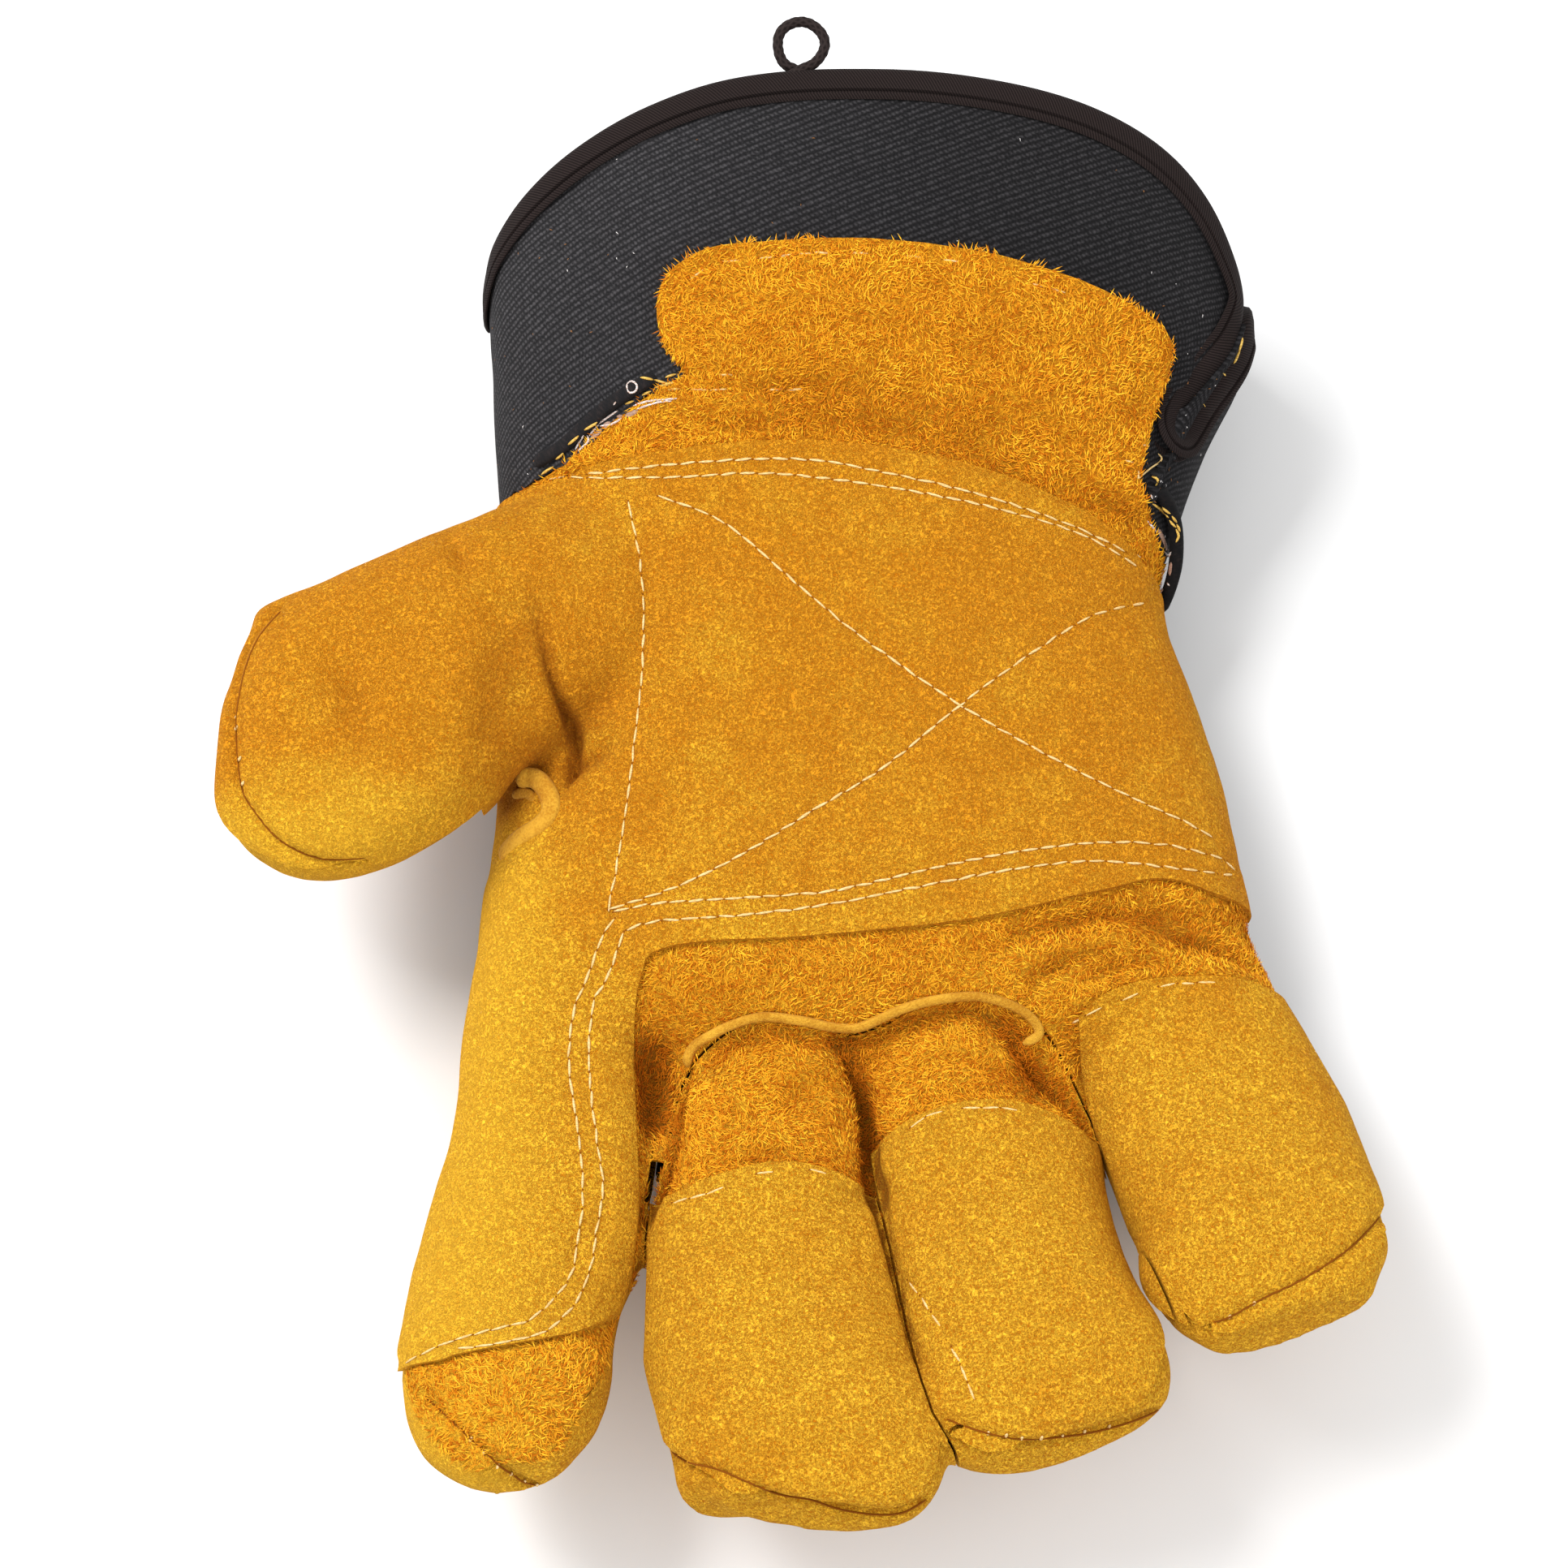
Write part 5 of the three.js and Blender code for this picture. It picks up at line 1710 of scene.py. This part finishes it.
def suede_finish(name, colors, fold_shade, coarse):
    """Split leather: short curved fibres that lie in all directions over a darker ground."""
    light, mid, deep = (full(color) for color in colors)
    made = Finish(name, Roughness=0.95, Sheen_Weight=0.04, Sheen_Roughness=0.5,
                  Sheen_Tint=full((1.0, 0.7, 0.3)), Specular_IOR_Level=0.05)
    spot = made.object_mm
    size = COARSE_FIBRES if coarse else FINE_FIBRES
    fibres = None
    for number, scale in enumerate(FIBRE_SCALES):
        wave = made.noise(made.placed(spot, number * FIBRE_TURN), scale * size, 1.5, 0.45, 0.9)
        line = made.ramp((wave - 0.5).unsigned(), 0.075, 0.010)
        fibres = line if fibres is None else fibres.larger(line * (1.0 - FIBRE_FADE * number))
    speckle = made.ramp(made.noise(spot, 1.8, 3.0, 0.7), 0.38, 0.62)
    cloud = made.noise(spot, 0.045, 3.0, 0.55)
    patch = made.noise(spot, 0.2, 2.0, 0.5)
    x, y, _ = made.parts(spot)
    # Tone by place: paler toward the fingertips; paler on the index finger's left side with fewer dark
    # specks, partly a painted highlight; darker on the thumb's outer part as painted shade. Cloud and patch
    # are the leather's own patchy tone.
    fingers = made.ramp(y, 5, -75)
    edge = made.ramp(x, -34, -52) * made.ramp(y, 5, -20)
    thumb = made.ramp(x, -54, -70) * made.ramp(y, -22, -8)
    clouds = cloud * 0.65 + patch * 0.35 + fingers * 0.27 + edge * 0.42 - thumb * 0.1
    tone = made.mix(made.ramp(clouds, 0.4, 0.84), mid, light)
    shade = made.mix(1.0 - edge * 0.4, tone, deep)
    color = made.mix(fibres * 0.55 + speckle * 0.45, shade, tone)
    # Painted shade: the crease attribute (folds, seams, stitch rows, hollows and steep sides) darkens the
    # colour toward the fold colour
    crease_shade = made.node("ShaderNodeAttribute", {"attribute_name": "crease"})["Fac"]
    color = made.mix(made.ramp(crease_shade, 0.7, 4.0) * 0.7, color, full(fold_shade))
    height = fibres * 0.65 + speckle * 0.35
    normal = made.bump(height, 0.0005 if coarse else 0.0004, 1.0)
    return made.feed(Base_Color=color, Normal=normal)


def denim_finish(name, dark, light, ridge=1.0):
    """Black twill: raised diagonal cords and yarn grain, a little lighter toward the thumb's side."""
    made = Finish(name, Roughness=0.95, Sheen_Weight=0.02, Specular_IOR_Level=0.06)
    cloth = made.uv
    u, v, _ = made.parts(cloth)
    across = u * math.cos(TWILL_WAY) + v * math.sin(TWILL_WAY)
    drift = made.noise(cloth, 0.2, 2.0) * 2.6 + made.noise(cloth, 1.1, 2.0, 0.6) * 2.4
    cords = (across * (math.tau / CORD_PITCH) + drift).sine() * 0.5 + 0.5
    along = u * math.sin(TWILL_WAY) - v * math.cos(TWILL_WAY)
    knots = (along * (math.tau / YARN_PITCH) + across * 2.7).sine() * 0.5 + 0.5
    yarn = made.noise(cloth, 2.3, 4.0, 0.75)
    broken = made.ramp(made.noise(cloth, 0.7, 3.0, 0.65), 0.38, 0.66)
    height = cords * (0.05 + broken * 0.24) * ridge + cords * knots * 0.3 * ridge + yarn * 0.9
    # Lighter toward the thumb's side and in broad patches
    x, _, _ = made.parts(made.object_mm)
    blend = made.noise(cloth, 0.035, 2.0) * 0.3 + made.ramp(x, 45, -50) * 0.7
    tone = made.mix(made.ramp(height, 0.38, 1.12), full(dark), full(light))
    tone = made.mix(blend * 0.42, tone, made.scaled(tone, 4.2))
    return made.feed(Base_Color=tone, Normal=made.bump(height, 0.00025, 0.8))


def tape_finish(name, dark, light):
    """Folded tape: fine ribs across its run."""
    made = Finish(name, Roughness=0.9, Sheen_Weight=0.02, Specular_IOR_Level=0.08)
    u, v, _ = made.parts(made.uv)
    ribs = ((u + v * 0.6) * (math.tau / RIB_PITCH)).sine() * 0.5 + 0.5
    yarn = made.noise(made.uv, 4.0, 2.0, 0.6)
    height = ribs * 0.5 + yarn * 0.5
    tone = made.mix(made.ramp(height, 0.3, 0.8), full(dark), full(light))
    return made.feed(Base_Color=tone, Normal=made.bump(height, 0.00012, 0.8))


def cord_finish(name, dark, light):
    """Braided cord: two sets of strands that cross."""
    made = Finish(name, Roughness=0.7, Specular_IOR_Level=0.1)
    u, v, _ = made.parts(made.uv)
    one, two = ((way * (math.tau / STRAND_PITCH)).sine() for way in (u * 0.7 + v, u * 0.7 - v))
    height = one.larger(two) * 0.5 + 0.5
    tone = made.mix(height, full(dark), full(light))
    return made.feed(Base_Color=tone, Normal=made.bump(height, 0.00015, 0.8))


def thread_finish(name, pale, shaded):
    """Twisted thread."""
    made = Finish(name, Roughness=0.6, Specular_IOR_Level=0.3)
    spot = made.object_mm
    twist = made.noise(made.placed(spot, math.radians(35), (1.5, 6.0, 3.0)), 1.0, 2.0)
    tone = made.mix(made.ramp(twist, 0.35, 0.65), full(shaded), full(pale))
    return made.feed(Base_Color=tone, Normal=made.bump(twist, 0.0001, 0.6))


def fibre_finish(name, colors):
    """Loose fibres, each in its own tone; the tint also carries painted shade in folds and hollows."""
    light, mid, deep = (full(color) for color in colors)
    made = Finish(name, Roughness=0.9, Specular_IOR_Level=0.1)
    tint = made.node("ShaderNodeAttribute", {"attribute_name": "tint"})["Fac"]
    tone = made.mix(made.ramp(tint, 0.05, 0.4), deep, mid)
    tone = made.mix(made.ramp(tint, 0.45, 0.95), tone, light)
    return made.feed(Base_Color=tone)


def lint_finish(name, warm, pale):
    """Specks of leather dust, a few of them pale."""
    made = Finish(name, Roughness=0.9, Specular_IOR_Level=0.2)
    tint = made.node("ShaderNodeAttribute", {"attribute_name": "tint"})["Fac"]
    return made.feed(Base_Color=made.mix(tint > 0.8, full(warm), full(pale)))


def strip_finish(name, colors):
    """A smooth strip of leather with a fine grain and patchy tone."""
    light, deep = (full(color) for color in colors)
    made = Finish(name, Roughness=0.85, Specular_IOR_Level=0.1, Sheen_Weight=0.03)
    spot = made.object_mm
    grain = made.noise(spot, 2.2, 4.0, 0.65)
    cloud = made.noise(spot, 0.18, 2.0)
    tone = made.mix(made.ramp(grain * 0.5 + cloud * 0.5, 0.36, 0.62), deep, light)
    return made.feed(Base_Color=tone, Normal=made.bump(grain, 0.0004, 1.0))


def plain_finish(name, tone):
    """A matt surface of one colour."""
    return Finish(name, Roughness=0.95, Specular_IOR_Level=0.1, Base_Color=full(tone)).material


# Settings, stage and panel

def metre(name, about, default):
    return FloatProperty(name=name, description=about, default=default, min=0.0, max=1.0,
                         unit="LENGTH", precision=5)


def color(name, about, default):
    return FloatVectorProperty(name=name, description=about, default=default, size=3, subtype="COLOR",
                               min=0.0, max=1.0)


class GloveSizes(bpy.types.PropertyGroup):
    """The glove's sizes"""

    fineness: metre("Fineness", "Size of the form's facets", 0.0011)
    leather: metre("Leather", "Thickness of the palm leather and the backs", 0.0014)
    overlay: metre("Overlay", "Thickness of the palm patch and the fingertip patches", 0.0013)
    denim: metre("Denim", "Thickness of the black denim", 0.0016)
    tape: metre("Tape", "Thickness of the rim tape", 0.0007)
    tape_width: metre("Tape width", "How far the tape reaches in from the rim", 0.0056)
    cord: metre("Cord", "Thickness of the hanging loop's cord", 0.0019)
    pitch: metre("Stitch pitch", "From one stitch to the next", 0.0033)
    stitch: metre("Stitch length", "The part of a stitch that shows", 0.00305)
    thread: metre("Thread", "Thickness of the thread", 0.00048)
    nap: metre("Nap", "Length of the rough leather's fibres", 0.0017)
    nap_density: FloatProperty(
        name="Nap density", description="Fibres for each square millimetre", default=4.3, min=0)


class GloveColors(bpy.types.PropertyGroup):
    """The glove's colours"""

    suede_light: color("Suede, light", "The raised nap of the smooth leather", (1.0, 0.56, 0.034))
    suede_mid: color("Suede, middle", "The smooth leather's main tone", (0.80, 0.335, 0.016))
    suede_deep: color("Suede, deep", "Between the fibres of the smooth leather", (0.52, 0.152, 0.002))
    # Painted shade: the colour that the leather is darkened toward in folds, hollows and on steep sides
    fold_shade: color("Folds", "The leather in its folds and valleys", (0.27, 0.062, 0.002))
    rough_light: color("Rough leather, light", "The rough leather's fibres", (0.96, 0.53, 0.028))
    rough_mid: color("Rough leather, middle", "The rough leather's main tone", (0.82, 0.36, 0.014))
    rough_deep: color("Rough leather, deep", "Between the rough leather's fibres", (0.54, 0.15, 0.004))
    denim_dark: color("Denim, dark", "The denim's hollows", (0.0066, 0.0064, 0.0068))
    denim_light: color("Denim, light", "The denim's raised cords", (0.038, 0.036, 0.038))
    tape_dark: color("Tape, dark", "The tape's hollows", (0.0085, 0.0055, 0.0052))
    tape_light: color("Tape, light", "The tape's ribs", (0.026, 0.018, 0.0165))
    thread: color("Thread", "The cream stitches", (0.84, 0.63, 0.30))
    thread_shade: color("Thread, shaded", "The hollows of the twisted thread", (0.62, 0.39, 0.12))
    strip_light: color("Welt, light", "The welt's crown", (0.72, 0.38, 0.035))
    strip_deep: color("Welt, deep", "The welt's sides", (0.48, 0.20, 0.012))
    yellow: color("Yellow thread", "The thread of the wrist seams", (0.78, 0.52, 0.12))
    yellow_shade: color("Yellow thread, shaded", "Its hollows", (0.45, 0.25, 0.03))
    white: color("White thread", "The overlock thread", (0.80, 0.76, 0.74))
    pink: color("Pink thread", "The dusty overlock thread", (0.42, 0.27, 0.20))
    pink_shade: color("Pink thread, shaded", "Its hollows", (0.25, 0.14, 0.10))
    lint: color("Lint", "Leather dust on the cloth", (0.30, 0.13, 0.04))
    # Painted shade inside the needle holes; the tip seam lines take the same dark colour
    hole: color("Needle hole", "The dark of a needle hole", (0.22, 0.065, 0.004))
    floor: color("Floor", "The pale floor", (0.87, 0.87, 0.87))


class GLOVE_OT_finishes(bpy.types.Operator):
    """Makes the leather, cloth, tape and thread materials"""

    bl_idname = "glove.finishes"
    bl_label = "Finishes"

    def execute(self, context):
        hue = context.scene.glove_colors
        smooth = (hue.suede_light, hue.suede_mid, hue.suede_deep)
        coarse = (hue.rough_light, hue.rough_mid, hue.rough_deep)
        shop["suede"] = suede_finish("suede", smooth, hue.fold_shade, False)
        shop["rough_suede"] = suede_finish("rough suede", coarse, hue.fold_shade, True)
        shop["rough_fibre"] = fibre_finish("rough suede fibres", coarse)
        shop["denim"] = denim_finish("black twill", hue.denim_dark, hue.denim_light)
        shop["tape"] = tape_finish("rim tape", hue.tape_dark, hue.tape_light)
        shop["cord"] = cord_finish("black cord", hue.tape_dark, hue.tape_light)
        shop["thread"] = thread_finish("cream thread", hue.thread, hue.thread_shade)
        shop["welt_strip"] = strip_finish("welt leather", (hue.strip_light, hue.strip_deep))
        shop["hole"] = plain_finish("needle hole", hue.hole)
        shop["seam_line"] = plain_finish("seam line", hue.hole)
        shop["yellow_thread"] = thread_finish("yellow thread", hue.yellow, hue.yellow_shade)
        shop["white_thread"] = thread_finish("white thread", hue.white, hue.pink)
        shop["pink_thread"] = thread_finish("pink thread", hue.pink, hue.pink_shade)
        shop["lint"] = lint_finish("lint", hue.lint, hue.white)
        shop["rolled_denim"] = denim_finish("rolled twill", hue.denim_dark, hue.tape_light, 0.3)
        return {"FINISHED"}


class GLOVE_OT_studio(bpy.types.Operator):
    """Sets up the pale floor, the soft lights and the camera at the photograph's angle"""

    bl_idname = "glove.studio"
    bl_label = "Floor, lights and camera"

    FLOOR_REACH = 1500
    # Each soft light's name, place and size in metres, and power in watts
    LIGHTS = (
        ("key", (-0.55, 0.35, 0.95), 0.5, 12.0),
        ("fill", (0.75, -0.25, 0.85), 1.0, 3.5),
        ("front", (0.0, -0.9, 0.75), 0.9, 3.0),
    )
    LIT = Vector((0, 0, 0.03))
    SKY = 0.7
    NEAREST = 0.01

    def execute(self, context):
        scene = context.scene
        bm = bmesh.new()
        bmesh.ops.create_grid(bm, x_segments=2, y_segments=2, size=self.FLOOR_REACH)
        floor = new_object("studio_floor", bm)
        metres(floor)
        floor.data.materials.append(plain_finish("pale floor", scene.glove_colors.floor))

        for name, place, size, watts in self.LIGHTS:
            light = bpy.data.lights.new(name, "AREA")
            light.energy = watts
            light.size = size
            lamp = bpy.data.objects.new(name, light)
            lamp.location = place
            lamp.rotation_euler = (self.LIT - Vector(place)).to_track_quat("-Z", "Y").to_euler()
            scene.collection.objects.link(lamp)

        world = bpy.data.worlds.new("studio")
        world.use_nodes = True
        sky = world.node_tree.nodes["Background"].inputs
        sky["Color"].default_value = full((1.0, 1.0, 1.0))
        sky["Strength"].default_value = self.SKY
        scene.world = world
        scene.view_settings.view_transform = "Standard"

        camera = bpy.data.cameras.new("camera")
        camera.lens = LENS
        camera.sensor_width = SENSOR
        camera.clip_start = self.NEAREST
        seat = bpy.data.objects.new("camera", camera)
        seat.location = CAMERA_AT * MM
        seat.rotation_euler = LOOK.to_track_quat("-Z", "Y").to_euler()
        scene.collection.objects.link(seat)
        scene.camera = seat
        return {"FINISHED"}


STEPS = (
    "finishes", "leather", "cuff", "binding", "loop", "trims", "stitches", "threads", "nap", "lint",
    "studio",
)


class GLOVE_PT_panel(bpy.types.Panel):
    """The glove's steps and sizes in the 3D view's sidebar"""

    bl_idname = "GLOVE_PT_panel"
    bl_label = "Work glove"
    bl_space_type = "VIEW_3D"
    bl_region_type = "UI"
    bl_category = "Glove"

    def draw(self, context):
        for step in STEPS:
            self.layout.operator(f"glove.{step}")
        for group in (context.scene.glove, context.scene.glove_colors):
            for name in group.bl_rna.properties.keys():
                if name not in ("rna_type", "name"):
                    self.layout.prop(group, name)


CLASSES = (
    GloveSizes, GloveColors, GLOVE_OT_finishes, GLOVE_OT_leather, GLOVE_OT_cuff, GLOVE_OT_binding,
    GLOVE_OT_loop, GLOVE_OT_trims, GLOVE_OT_stitches, GLOVE_OT_threads, GLOVE_OT_nap,
    GLOVE_OT_lint, GLOVE_OT_studio, GLOVE_PT_panel,
)


def register():
    for cls in CLASSES:
        bpy.utils.register_class(cls)
    bpy.types.Scene.glove = PointerProperty(type=GloveSizes)
    bpy.types.Scene.glove_colors = PointerProperty(type=GloveColors)


def unregister():
    del bpy.types.Scene.glove_colors
    del bpy.types.Scene.glove
    for cls in reversed(CLASSES):
        bpy.utils.unregister_class(cls)


def main():
    register()
    for step in STEPS:
        getattr(bpy.ops.glove, step)()


if __name__ == "__main__":
    main()
